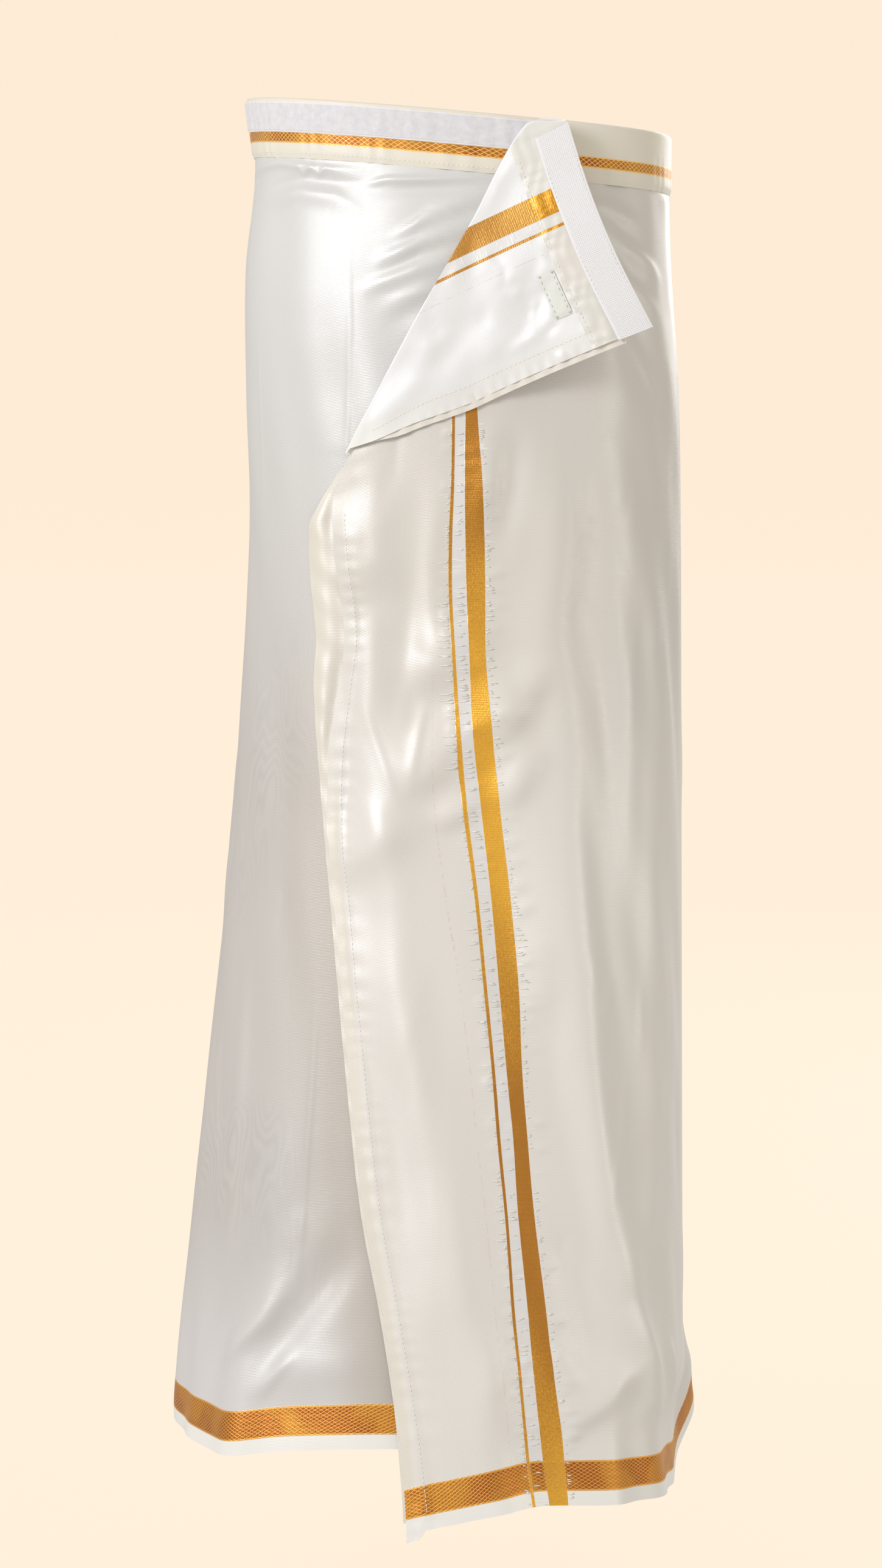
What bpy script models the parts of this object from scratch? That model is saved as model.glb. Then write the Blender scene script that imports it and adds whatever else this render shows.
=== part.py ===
"""A ready-made wrap dhoti as it is worn, with the top corner of its over panel turned out.

The cloth goes once and a half round the hips: the under panel starts the wrap at the front, the back
panel follows, and the over panel crosses the front and ends in the free edge. Every wall is laid on one
hollow body form, whose rings come from the section table, and is moved out by the layers below it.
Metres, +Z up, the front faces -Y. The origin is the centre of the waist, level with the waistband's top.
"""
import math

import bmesh
import bpy
from mathutils import Vector

# Cloth and trim thicknesses, and the gaps between them
WALL = 0.0015
PLY_WALL = 0.0012
TAPE_WALL = 0.0012
SEAM = 0.0003
LAYER_GAP = 0.0010

# Waistband: its depth, the lip above the loop tape, and the tapes
BAND_DEPTH = 0.042
BAND_LIP = 0.0025
LOOP_TAPE_WIDTH = 0.0215
HOOK_TAPE_WIDTH = 0.0245
TAPE_PROUD = 0.001
TOP_AT_CENTRE = -0.0035
TOP_SLOPE = -0.09

# The stretch above the hem where the cloth flares most, and how far the second ply hangs below the first
HEM_DEPTH = 0.072
LOWEST_HEM = -1.0
PLY_DROP = 0.003

# Where each stretch starts and ends round the body, in degrees from the front towards +X
LEFT_SEAM = -95.0
RIGHT_CREASE = 88.0
UNDER_END = 46.0
LOOP_TAPE_START = -84.0
LOOP_TAPE_END = 38.0
SEAM_ANGLE = 0.12
SETTLE_FROM = 52.0
SETTLE_TO = 82.0
FOLDS_FADE_FROM = 70.0
FOLDS_FADE_TO = 84.0

# Each layer's inner face, measured out from the body form
BAND_OUT = WALL + SEAM
LOOP_TAPE_OUT = BAND_OUT + WALL + SEAM
OVER_OUT = LOOP_TAPE_OUT + TAPE_WALL + SEAM
OVER_PLY_OUT = WALL + LAYER_GAP
FLAP_OUT = OVER_OUT + 2 * WALL + 2 * SEAM

# A ring's corners are a little fuller than an ellipse's, and its mean radius gives a fold's width as an angle
FULLNESS = 2.3
MEAN_RADIUS = 0.15
NORMAL_STEP = 1.5
SIDE_ANGLE = 89.0
HALVINGS = 26

# Facets of the long walls
PANEL_ROWS = 26
BAND_ROWS = 2
HEM_ROWS = 4
UNDER_COLUMNS = 30
BACK_COLUMNS = 38
OVER_COLUMNS = 24


class Table:
    """Rows of named columns, read smoothly by the value of the first column."""

    def __init__(self, columns, rows):
        self.columns = columns
        self.rows = sorted(rows)

    def read(self, column, at):
        keys = [row[0] for row in self.rows]
        values = [row[self.columns.index(column)] for row in self.rows]
        if at <= keys[0]:
            return values[0]
        if at >= keys[-1]:
            return values[-1]
        i = max(k for k in range(len(keys) - 1) if keys[k] <= at)
        step = keys[i + 1] - keys[i]
        t = (at - keys[i]) / step

        def slope(k):
            if k == 0 or k == len(keys) - 1:
                return 0.0
            return (values[k + 1] - values[k - 1]) / (keys[k + 1] - keys[k - 1])

        start, end = slope(i) * step, slope(i + 1) * step
        rise = values[i + 1] - values[i]
        return values[i] + t * (start + t * (3 * rise - 2 * start - end + t * (start + end - 2 * rise)))


# The body form: how far each ring reaches to the left, right, front and back
SECTIONS = Table(
    ("height", "left", "right", "front", "back"),
    [
        (0.020, -0.151, 0.150, -0.104, 0.103),
        (-0.040, -0.146, 0.149, -0.109, 0.109),
        (-0.110, -0.153, 0.151, -0.119, 0.121),
        (-0.200, -0.153, 0.157, -0.122, 0.131),
        (-0.310, -0.151, 0.159, -0.121, 0.130),
        (-0.450, -0.160, 0.160, -0.122, 0.121),
        (-0.600, -0.173, 0.161, -0.127, 0.122),
        (-0.750, -0.188, 0.162, -0.133, 0.133),
        (-0.880, -0.200, 0.163, -0.141, 0.146),
        (-0.915, -0.203, 0.163, -0.143, 0.149),
        (-0.945, -0.205, 0.156, -0.145, 0.152),
        (-1.010, -0.203, 0.157, -0.149, 0.155),
    ],
)

# Hem heights of the three stretches, by the angle round the body
UNDER_HEM = Table(
    ("angle", "height"),
    [(-95, -0.955), (-80, -0.958), (-50, -0.957), (-30, -0.949), (-10, -0.944), (46, -0.944)],
)
OVER_HEM = Table(
    ("angle", "height"),
    [(-8, -1.007), (2, -0.997), (14, -0.988), (24, -0.985), (50, -0.989), (70, -0.993), (88, -0.999)],
)
BACK_HEM = Table(
    ("angle", "height"),
    [(88, -0.997), (96, -0.984), (108, -0.959), (125, -0.963), (150, -0.972), (180, -0.966),
     (215, -0.970), (245, -0.959), (265, -0.955)],
)

# The over panel's left boundary: the turned edge down to the corner, then the free edge of the upper ply
OVER_EDGE = Table(
    ("height", "x"),
    [
        (0.000, 0.058), (-0.016, 0.046), (-0.067, 0.022), (-0.113, 0.000), (-0.151, -0.025),
        (-0.205, -0.055), (-0.248, -0.080), (-0.272, -0.089), (-0.309, -0.087), (-0.371, -0.081),
        (-0.406, -0.086), (-0.455, -0.093), (-0.503, -0.094), (-0.600, -0.086), (-0.689, -0.078),
        (-0.778, -0.068), (-0.847, -0.055), (-0.904, -0.046), (-0.940, -0.042), (-1.007, -0.038),
    ],
)
# How far the second ply's free edge stands out past the upper ply's
OVER_PLY_SHOWS = Table(
    ("height", "beyond"),
    [(-0.270, 0.006), (-0.297, 0.0155), (-0.335, 0.019), (-0.372, 0.0225), (-0.410, 0.0155),
     (-0.455, 0.006), (-0.503, 0.0012), (-1.010, 0.0008)],
)
OVER_PLY_TOP = -0.268
OVER_PLY_TUCK = 0.024

# Large folds of the cloth. Each runs from one angle at its start height to another at its end height,
# and stands out (or in, when negative) by its depth over a half-width. Layer tells which walls it shapes.
FOLD_COLUMNS = ("layer", "from_angle", "to_angle", "from_height", "to_height", "depth", "half_width")
FOLDS = [
    ("base", -36.0, -47.0, -0.66, -0.98, 0.0080, 0.020),
    ("base", -22.0, -66.0, -0.72, -0.92, -0.0070, 0.024),
    ("base", -55.0, -72.0, -0.80, -0.96, 0.0070, 0.017),
    ("base", -70.0, -88.0, -0.52, -0.97, 0.0045, 0.026),
    ("base", 104.0, 109.0, -0.870, -0.962, 0.0300, 0.030),
    ("base", 128.0, 134.0, -0.40, -0.97, -0.0080, 0.020),
    ("base", 150.0, 152.0, -0.25, -0.97, 0.0075, 0.024),
    ("base", 171.0, 174.0, -0.34, -0.97, -0.0090, 0.018),
    ("base", 194.0, 190.0, -0.22, -0.97, 0.0080, 0.023),
    ("base", 214.0, 209.0, -0.45, -0.97, -0.0070, 0.018),
    ("base", 236.0, 229.0, -0.30, -0.97, 0.0065, 0.022),
    ("base", 255.0, 252.0, -0.62, -0.97, -0.0060, 0.018),
    ("over", 16.0, 30.0, -0.20, -0.62, 0.0035, 0.013),
    ("over", 6.0, 48.0, -0.38, -0.90, 0.0060, 0.016),
    ("over", 14.0, 62.0, -0.50, -1.00, 0.0055, 0.017),
    ("over", 40.0, 40.0, -0.86, -1.00, 0.0100, 0.030),
    ("over", -22.0, -12.0, -0.40, -0.56, 0.0050, 0.014),
    ("over", -10.0, 4.0, -0.74, -1.00, 0.0045, 0.018),
]

# The turned-out corner, as cloth coordinates in its own plane: along the waist edge and along the free edge
FLAP_CORNER = Vector((0.1318, -0.1536))
ALONG_WAIST = Vector((-0.381, 0.925))
ALONG_FREE_EDGE = Vector((-0.900, -0.437))
FLAP_LENGTH = 0.250
FLAP_WIDTH = 0.154
FLAP_TANGENT_X = 0.002
FLAP_REACH = 0.012
FLAP_REACH_SPAN = 0.130
FREE_EDGE_BOW = 0.0065
WAIST_EDGE_BOW = 0.0050
WAIST_BOW_FADE = 0.100
TURNED_EDGE = Table(
    ("along_free_edge", "along_waist"),
    [(0.000, FLAP_WIDTH), (0.028, 0.162), (0.087, 0.118), (0.145, 0.075), (0.210, 0.026), (0.250, 0.002)],
)
FLAP_PLY_FROM = 0.020
FLAP_PLY_TO = 0.236
FLAP_PLY_SHOWS = 0.0045
FLAP_PLY_TUCK = 0.016
FACING_DEPTH = 0.043
LABEL_FROM = Vector((0.029, 0.0450))
LABEL_TO = Vector((0.063, 0.0580))

# Colours and finishes: red, green, blue, roughness
IVORY_SILK = (0.84, 0.80, 0.73, 0.38)
WRONG_SIDE = (0.86, 0.84, 0.79, 0.42)
BAND_CLOTH = (0.82, 0.77, 0.68, 0.48)
LOOP_WHITE = (0.80, 0.77, 0.82, 0.95)
HOOK_WHITE = (0.86, 0.85, 0.88, 0.80)


def smooth_step(start, end, value):
    """0 before start, 1 after end, with soft ends; start may be above end."""
    t = min(1.0, max(0.0, (value - start) / (end - start)))
    return t * t * (3 - 2 * t)


def power_wave(value):
    """A sine or cosine raised to the ring's fullness, keeping its sign."""
    return math.copysign(abs(value) ** (2 / FULLNESS), value)


def ring_point(angle, height):
    """A point of the plain body form, at an angle in degrees from the front."""
    left = SECTIONS.read("left", height)
    right = SECTIONS.read("right", height)
    depth = SECTIONS.read("front" if math.cos(math.radians(angle)) > 0 else "back", height)
    x = (left + right) / 2 + (right - left) / 2 * power_wave(math.sin(math.radians(angle)))
    y = abs(power_wave(math.cos(math.radians(angle)))) * depth
    return Vector((x, y, height))


def outward(angle, height):
    """The level direction out of the body form."""
    along = ring_point(angle + NORMAL_STEP, height) - ring_point(angle - NORMAL_STEP, height)
    return Vector((along.y, -along.x, 0)).normalized()


def fold_depth(angle, height, layer):
    """How far the named layer's folds stand out at a place."""
    total = 0.0
    for row in FOLDS:
        fold = dict(zip(FOLD_COLUMNS, row))
        if fold["layer"] != layer:
            continue
        run = (height - fold["from_height"]) / (fold["to_height"] - fold["from_height"])
        centre = fold["from_angle"] + (fold["to_angle"] - fold["from_angle"]) * run
        turn = (angle - centre + 180) % 360 - 180
        across = math.radians(turn) * MEAN_RADIUS / fold["half_width"]
        total += fold["depth"] * smooth_step(0.0, 1.0, run) * math.exp(-across * across)
    return total


def on_body(angle, height, out):
    """A point of the draped form, moved out by the layers below."""
    lift = out + fold_depth(angle, height, "base")
    return ring_point(angle, height) + outward(angle, height) * lift


def over_lift(angle, height):
    """The over panel rides on the waistband and tape in front, and settles to the body at the right side."""
    raised = 1 - smooth_step(SETTLE_FROM, SETTLE_TO, angle)
    folded = 1 - smooth_step(FOLDS_FADE_FROM, FOLDS_FADE_TO, angle)
    return OVER_OUT * raised + fold_depth(angle, height, "over") * folded


def angle_at(x, height, out):
    """The angle at which a layer of the front reaches a given x."""
    low, high = -SIDE_ANGLE, SIDE_ANGLE
    for _ in range(HALVINGS):
        middle = (low + high) / 2
        if on_body(middle, height, out).x < x:
            low = middle
        else:
            high = middle
    return (low + high) / 2


def waist_top(angle):
    """The height of the waistband's top, which dips to the right."""
    return TOP_AT_CENTRE + TOP_SLOPE * ring_point(angle, 0.0).x


def between(start, end, part):
    return start + (end - start) * part


def row_height(hem, top, up):
    """The hem and the waistband have close rows of their own, and the rows between them are even."""
    band_part = BAND_ROWS / PANEL_ROWS
    hem_part = HEM_ROWS / PANEL_ROWS
    if up > 1 - band_part:
        return top - BAND_DEPTH * (1 - up) / band_part
    if up < hem_part:
        return hem + HEM_DEPTH * up / hem_part
    return between(hem + HEM_DEPTH, top - BAND_DEPTH, (up - hem_part) / (1 - band_part - hem_part))


# Places of each wall: both arguments run from 0 to 1, along the cloth and up it
def under_place(along, up):
    angle = between(LEFT_SEAM, UNDER_END, along)
    return on_body(angle, row_height(UNDER_HEM.read("height", angle), waist_top(angle), up), 0.0)


def back_place(along, up):
    angle = between(RIGHT_CREASE + SEAM_ANGLE, 360 + LEFT_SEAM - SEAM_ANGLE, along)
    return on_body(angle, row_height(BACK_HEM.read("height", angle), waist_top(angle), up), 0.0)


def over_angle(along, height):
    start = angle_at(OVER_EDGE.read("x", height), height, OVER_OUT)
    return between(start, RIGHT_CREASE, along)


def over_spot(along, height, out=0.0):
    angle = over_angle(along, height)
    return on_body(angle, height, over_lift(angle, height) + out)


def over_place(along, up):
    hem = OVER_HEM.read("height", over_angle(along, LOWEST_HEM))
    return over_spot(along, row_height(hem, waist_top(over_angle(along, 0.0)), up))


def over_ply_place(along, up):
    hem = OVER_HEM.read("height", over_angle(0.0, LOWEST_HEM)) - PLY_DROP
    height = between(hem, OVER_PLY_TOP, up)
    beyond = OVER_PLY_SHOWS.read("beyond", height)
    x = OVER_EDGE.read("x", height) - beyond + (OVER_PLY_TUCK + beyond) * along
    angle = angle_at(x, height, OVER_PLY_OUT)
    return on_body(angle, height, OVER_PLY_OUT + fold_depth(angle, height, "over"))


def band_on(first, last):
    """A waistband strip on a stretch of the body form."""
    def place(along, up):
        angle = between(first, last, along)
        top = waist_top(angle)
        return on_body(angle, between(top - BAND_DEPTH, top, up), BAND_OUT)
    return place


def over_band_place(along, up):
    top = waist_top(over_angle(along, 0.0))
    return over_spot(along, between(top - BAND_DEPTH, top, up), BAND_OUT)


def loop_tape_place(along, up):
    angle = between(LOOP_TAPE_START, LOOP_TAPE_END, along)
    top = waist_top(angle) - BAND_LIP
    return on_body(angle, between(top - LOOP_TAPE_WIDTH, top, up), LOOP_TAPE_OUT)


def flap_spot(waist, free, out=0.0):
    """A place on the turned-out corner: metres along its waist edge and along its free edge."""
    free_bow = math.sin(math.pi * min(1.0, free / FLAP_LENGTH)) * (1 - waist / FLAP_WIDTH)
    waist_bow = math.sin(math.pi * min(1.0, max(0.0, waist / FLAP_WIDTH)))
    waist_bow *= 1 - smooth_step(0.0, WAIST_BOW_FADE, free)
    up_the_edge = waist + FREE_EDGE_BOW * free_bow
    down_the_edge = free + WAIST_EDGE_BOW * waist_bow
    x, height = FLAP_CORNER + ALONG_WAIST * up_the_edge + ALONG_FREE_EDGE * down_the_edge
    near = min(x, FLAP_TANGENT_X)
    angle = angle_at(near, height, FLAP_OUT)
    spot = on_body(angle, height, FLAP_OUT + fold_depth(angle, height, "over"))
    past = max(0.0, x - FLAP_TANGENT_X)
    forward = FLAP_REACH * smooth_step(0.0, FLAP_REACH_SPAN, past) + out
    return Vector((x, spot.y, height)) + outward(angle, height) * forward


def flap_place(along, up):
    free = FLAP_LENGTH * up
    return flap_spot(TURNED_EDGE.read("along_waist", free) * along, free)


def flap_ply_place(along, up):
    free = between(FLAP_PLY_FROM, FLAP_PLY_TO, up)
    tuck = min(FLAP_PLY_TUCK, TURNED_EDGE.read("along_waist", free))
    return flap_spot(between(-FLAP_PLY_SHOWS, tuck, along), free, -PLY_WALL - SEAM)


def facing_place(along, up):
    free = FACING_DEPTH * up
    return flap_spot(TURNED_EDGE.read("along_waist", free) * along, free, WALL + SEAM)


def hook_tape_place(along, up):
    free = between(-TAPE_PROUD, HOOK_TAPE_WIDTH, up)
    waist = between(-TAPE_PROUD, FLAP_WIDTH - 2 * TAPE_PROUD, along)
    return flap_spot(waist, free, WALL + PLY_WALL + 2 * SEAM)


def label_place(along, up):
    waist = between(LABEL_FROM.x, LABEL_TO.x, along)
    return flap_spot(waist, between(LABEL_FROM.y, LABEL_TO.y, up), WALL + SEAM)


def finish(name, values):
    """A plain Principled finish."""
    red, green, blue, roughness = values
    material = bpy.data.materials.new(name)
    material.use_nodes = True
    shader = material.node_tree.nodes["Principled BSDF"]
    shader.inputs["Base Color"].default_value = (red, green, blue, 1.0)
    shader.inputs["Roughness"].default_value = roughness
    shader.inputs["Metallic"].default_value = 0.0
    return material


def cloth_wall(name, place, columns, rows, wall, values):
    """A grid laid on its place and given its thickness on the outer side."""
    mesh = bpy.data.meshes.new(name)
    sheet = bmesh.new()
    bmesh.ops.create_grid(sheet, x_segments=columns, y_segments=rows, size=0.5)
    for vertex in sheet.verts:
        vertex.co = place(vertex.co.x + 0.5, vertex.co.y + 0.5)
    sheet.to_mesh(mesh)
    sheet.free()
    mesh.shade_smooth()
    piece = bpy.data.objects.new(name, mesh)
    thickness = piece.modifiers.new("wall", "SOLIDIFY")
    thickness.thickness = wall
    thickness.offset = 1.0
    thickness.use_even_offset = True
    mesh.materials.append(finish(name + "_finish", values))
    return piece


def clear_scene():
    for thing in list(bpy.data.objects):
        bpy.data.objects.remove(thing, do_unlink=True)


def build():
    clear_scene()
    dhoti = bpy.data.collections.new("dhoti")
    bpy.context.scene.collection.children.link(dhoti)
    pieces = [
        cloth_wall("under_panel", under_place, UNDER_COLUMNS, PANEL_ROWS, WALL, IVORY_SILK),
        cloth_wall("back_panel", back_place, BACK_COLUMNS, PANEL_ROWS, WALL, IVORY_SILK),
        cloth_wall("over_panel", over_place, OVER_COLUMNS, PANEL_ROWS, WALL, IVORY_SILK),
        cloth_wall("over_ply", over_ply_place, 3, 30, PLY_WALL, IVORY_SILK),
        cloth_wall("flap", flap_place, 12, 20, WALL, WRONG_SIDE),
        cloth_wall("flap_ply", flap_ply_place, 2, 18, PLY_WALL, IVORY_SILK),
        cloth_wall("flap_facing", facing_place, 12, 3, PLY_WALL, WRONG_SIDE),
        cloth_wall("waistband_under", band_on(LEFT_SEAM, UNDER_END), UNDER_COLUMNS, BAND_ROWS, WALL, BAND_CLOTH),
        cloth_wall("waistband_back", band_on(RIGHT_CREASE + SEAM_ANGLE, 360 + LEFT_SEAM - SEAM_ANGLE),
                   BACK_COLUMNS, BAND_ROWS, WALL, BAND_CLOTH),
        cloth_wall("waistband_over", over_band_place, OVER_COLUMNS, BAND_ROWS, WALL, BAND_CLOTH),
        cloth_wall("loop_tape", loop_tape_place, 32, 1, TAPE_WALL, LOOP_WHITE),
        cloth_wall("hook_tape", hook_tape_place, 12, 2, TAPE_WALL, HOOK_WHITE),
        cloth_wall("label_patch", label_place, 3, 2, PLY_WALL, WRONG_SIDE),
    ]
    for piece in pieces:
        dhoti.objects.link(piece)


build()
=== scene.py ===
# %% [markdown]
# # A wrap dhoti, dressed
#
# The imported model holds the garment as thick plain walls. This notebook puts real cloth in their place:
# thin sheets with creases, a woven gold border, gold stripes, a stitched waistband and closing tapes.
# Everything is in metres. The front faces -Y, and the origin is the middle of the waist.

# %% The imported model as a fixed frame
import math

import bmesh
import bpy
import numpy as np
from mathutils import Matrix, Vector


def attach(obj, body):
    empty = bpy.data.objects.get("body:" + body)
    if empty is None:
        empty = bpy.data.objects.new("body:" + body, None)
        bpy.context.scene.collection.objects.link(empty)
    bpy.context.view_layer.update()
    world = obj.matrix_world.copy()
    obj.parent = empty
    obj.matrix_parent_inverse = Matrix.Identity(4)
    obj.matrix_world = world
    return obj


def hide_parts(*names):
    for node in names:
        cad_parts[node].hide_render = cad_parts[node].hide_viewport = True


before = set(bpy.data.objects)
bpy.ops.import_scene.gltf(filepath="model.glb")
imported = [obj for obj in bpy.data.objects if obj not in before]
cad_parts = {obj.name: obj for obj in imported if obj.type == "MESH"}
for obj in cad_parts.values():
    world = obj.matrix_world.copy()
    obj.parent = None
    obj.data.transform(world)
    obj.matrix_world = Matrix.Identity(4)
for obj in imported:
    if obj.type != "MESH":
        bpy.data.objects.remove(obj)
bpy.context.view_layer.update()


def put_in_scene(name, data):
    """A new object in the scene."""
    thing = bpy.data.objects.new(name, data)
    bpy.context.scene.collection.objects.link(thing)
    return thing


# %% [markdown]
# ## The camera
#
# A long lens from 3.3 m away flattens a tall garment as the picture does. Its place is given, not found with
# a helper, so that the framing stays the same however the rest changes.

# %% Camera
CAMERA_PLACE = (-0.0135, -3.3, -0.19)
CAMERA_PITCH_DOWN = 5.1
LENS_MM, SENSOR_MM = 104.2, 36.0

lens = bpy.data.cameras.new("camera")
lens.lens, lens.sensor_width = LENS_MM, SENSOR_MM
camera = put_in_scene("camera", lens)
camera.location = CAMERA_PLACE
camera.rotation_euler = (math.radians(90 - CAMERA_PITCH_DOWN), 0, 0)
bpy.context.scene.camera = camera

# %% [markdown]
# ## The body form
#
# A dhoti takes its form from the hips and legs inside it, and hangs free below them. The form is a stack of
# level rings, each a little fuller than an ellipse. These are the same rings that the solids were laid on,
# so that each thin sheet lies where its solid is. The functions take numpy arrays, because a sheet has tens
# of thousands of points.

# %% Reading a table smoothly


class Table:
    """Rows of named columns, read smoothly by the value of the first column."""

    def __init__(self, columns, rows):
        values = np.array(sorted(rows), float)
        self.keys = values[:, 0]
        self.values = dict(zip(columns, values.T))

    def read(self, column, at):
        keys, values = self.keys, self.values[column]
        slopes = np.zeros_like(values)
        slopes[1:-1] = (values[2:] - values[:-2]) / (keys[2:] - keys[:-2])
        at = np.clip(at, keys[0], keys[-1])
        i = np.clip(np.searchsorted(keys, at, side="right") - 1, 0, len(keys) - 2)
        step = keys[i + 1] - keys[i]
        t = (at - keys[i]) / step
        start, end = slopes[i] * step, slopes[i + 1] * step
        rise = values[i + 1] - values[i]
        return values[i] + t * (start + t * (3 * rise - 2 * start - end + t * (start + end - 2 * rise)))


def smooth_step(start, end, value):
    """0 before start, 1 after end, with soft ends; start may be above end."""
    t = np.clip((value - start) / (end - start), 0.0, 1.0)
    return t * t * (3 - 2 * t)


def off_ends(value, part):
    """1 in the middle of a measure from 0 to 1, falling softly to 0 over a part at each end."""
    return smooth_step(0.0, part, value) * smooth_step(1.0, 1 - part, value)


def between(start, end, part):
    return start + (end - start) * part


def hump(away, half_width):
    """A soft ridge: 1 on its line, and near 0 at twice its half-width."""
    return np.exp(-((away / half_width) ** 2))


def unit(vectors):
    return vectors / np.linalg.norm(vectors, axis=-1, keepdims=True)


# %% Rings of the body form
SECTIONS = Table(
    ("height", "left", "right", "front", "back"),
    [
        (0.020, -0.151, 0.150, -0.104, 0.103),
        (-0.040, -0.146, 0.149, -0.109, 0.109),
        (-0.110, -0.153, 0.151, -0.119, 0.121),
        (-0.200, -0.153, 0.157, -0.122, 0.131),
        (-0.310, -0.151, 0.159, -0.121, 0.130),
        (-0.450, -0.160, 0.160, -0.122, 0.121),
        (-0.600, -0.173, 0.161, -0.127, 0.122),
        (-0.750, -0.188, 0.162, -0.133, 0.133),
        (-0.880, -0.200, 0.163, -0.141, 0.146),
        (-0.915, -0.203, 0.163, -0.143, 0.149),
        (-0.945, -0.205, 0.156, -0.145, 0.152),
        (-1.010, -0.203, 0.157, -0.149, 0.155),
    ],
)
FULLNESS = 2.3
MEAN_RADIUS = 0.15
NORMAL_STEP = 1.5
SIDE_ANGLE = 89.0


def power_wave(value):
    return np.sign(value) * np.abs(value) ** (2 / FULLNESS)


def ring_point(angle, height):
    """A point of the plain form, at an angle in degrees from the front towards +X."""
    turn = np.radians(angle)
    left, right = SECTIONS.read("left", height), SECTIONS.read("right", height)
    depth = np.where(np.cos(turn) > 0, SECTIONS.read("front", height), SECTIONS.read("back", height))
    x = (left + right) / 2 + (right - left) / 2 * power_wave(np.sin(turn))
    y = np.abs(power_wave(np.cos(turn))) * depth
    return np.stack([x, y, height + 0 * x], axis=-1)


def outward(angle, height):
    """The level direction out of the form."""
    along = ring_point(angle + NORMAL_STEP, height) - ring_point(angle - NORMAL_STEP, height)
    return unit(np.stack([along[..., 1], -along[..., 0], 0 * along[..., 0]], axis=-1))


# %% [markdown]
# ## Folds and creases
#
# Cloth that hangs from a waistband falls in a few large folds, and worn satin has many small creases across
# them. The large folds are the solids' own. A crease is a path over the cloth with a depth and a half-width,
# and one flank steeper than the other; its ends fade out. The main ones are listed one by one, in millimetres
# of x and height, where light breaks on the real cloth, and smaller ones are scattered from a fixed seed.

# %% Large folds, as in the solids: two angles, two heights, how far out, half-width
FOLDS = {
    "base": [
        (-36.0, -47.0, -0.66, -0.98, 0.0080, 0.020),
        (-22.0, -66.0, -0.72, -0.92, -0.0070, 0.024),
        (-55.0, -72.0, -0.80, -0.96, 0.0070, 0.017),
        (-70.0, -88.0, -0.52, -0.97, 0.0045, 0.026),
        (104.0, 109.0, -0.870, -0.962, 0.0300, 0.030),
        (128.0, 134.0, -0.40, -0.97, -0.0080, 0.020),
        (150.0, 152.0, -0.25, -0.97, 0.0075, 0.024),
        (171.0, 174.0, -0.34, -0.97, -0.0090, 0.018),
        (194.0, 190.0, -0.22, -0.97, 0.0080, 0.023),
        (214.0, 209.0, -0.45, -0.97, -0.0070, 0.018),
        (236.0, 229.0, -0.30, -0.97, 0.0065, 0.022),
        (255.0, 252.0, -0.62, -0.97, -0.0060, 0.018),
    ],
    "over": [
        (16.0, 30.0, -0.20, -0.62, 0.0035, 0.013),
        (6.0, 48.0, -0.38, -0.90, 0.0060, 0.016),
        (14.0, 62.0, -0.50, -1.00, 0.0055, 0.017),
        (40.0, 40.0, -0.86, -1.00, 0.0100, 0.030),
        (-22.0, -12.0, -0.40, -0.56, 0.0050, 0.014),
        (-10.0, 4.0, -0.74, -1.00, 0.0045, 0.018),
    ],
}


def fold_depth(angle, height, layer):
    """How far the named layer's large folds stand out at a place."""
    total = 0.0 * angle
    for from_angle, to_angle, from_height, to_height, depth, half_width in FOLDS[layer]:
        run = (height - from_height) / (to_height - from_height)
        turn = (angle - from_angle - (to_angle - from_angle) * run + 180) % 360 - 180
        total = total + depth * smooth_step(0.0, 1.0, run) * hump(np.radians(turn) * MEAN_RADIUS, half_width)
    return total


def on_body(angle, height, out):
    """A point of the draped form, moved out by the layers below."""
    lift = out + fold_depth(angle, height, "base")
    return ring_point(angle, height) + outward(angle, height) * np.asarray(lift)[..., None]


HALVINGS = 24


def angle_at(x, height, out):
    """The angles at which a layer of the front reaches given x."""
    low, high = np.full(np.shape(x), -SIDE_ANGLE), np.full(np.shape(x), SIDE_ANGLE)
    for _ in range(HALVINGS):
        middle = (low + high) / 2
        short = on_body(middle, height, out)[..., 0] < x
        low, high = np.where(short, middle, low), np.where(short, high, middle)
    return (low + high) / 2
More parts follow.
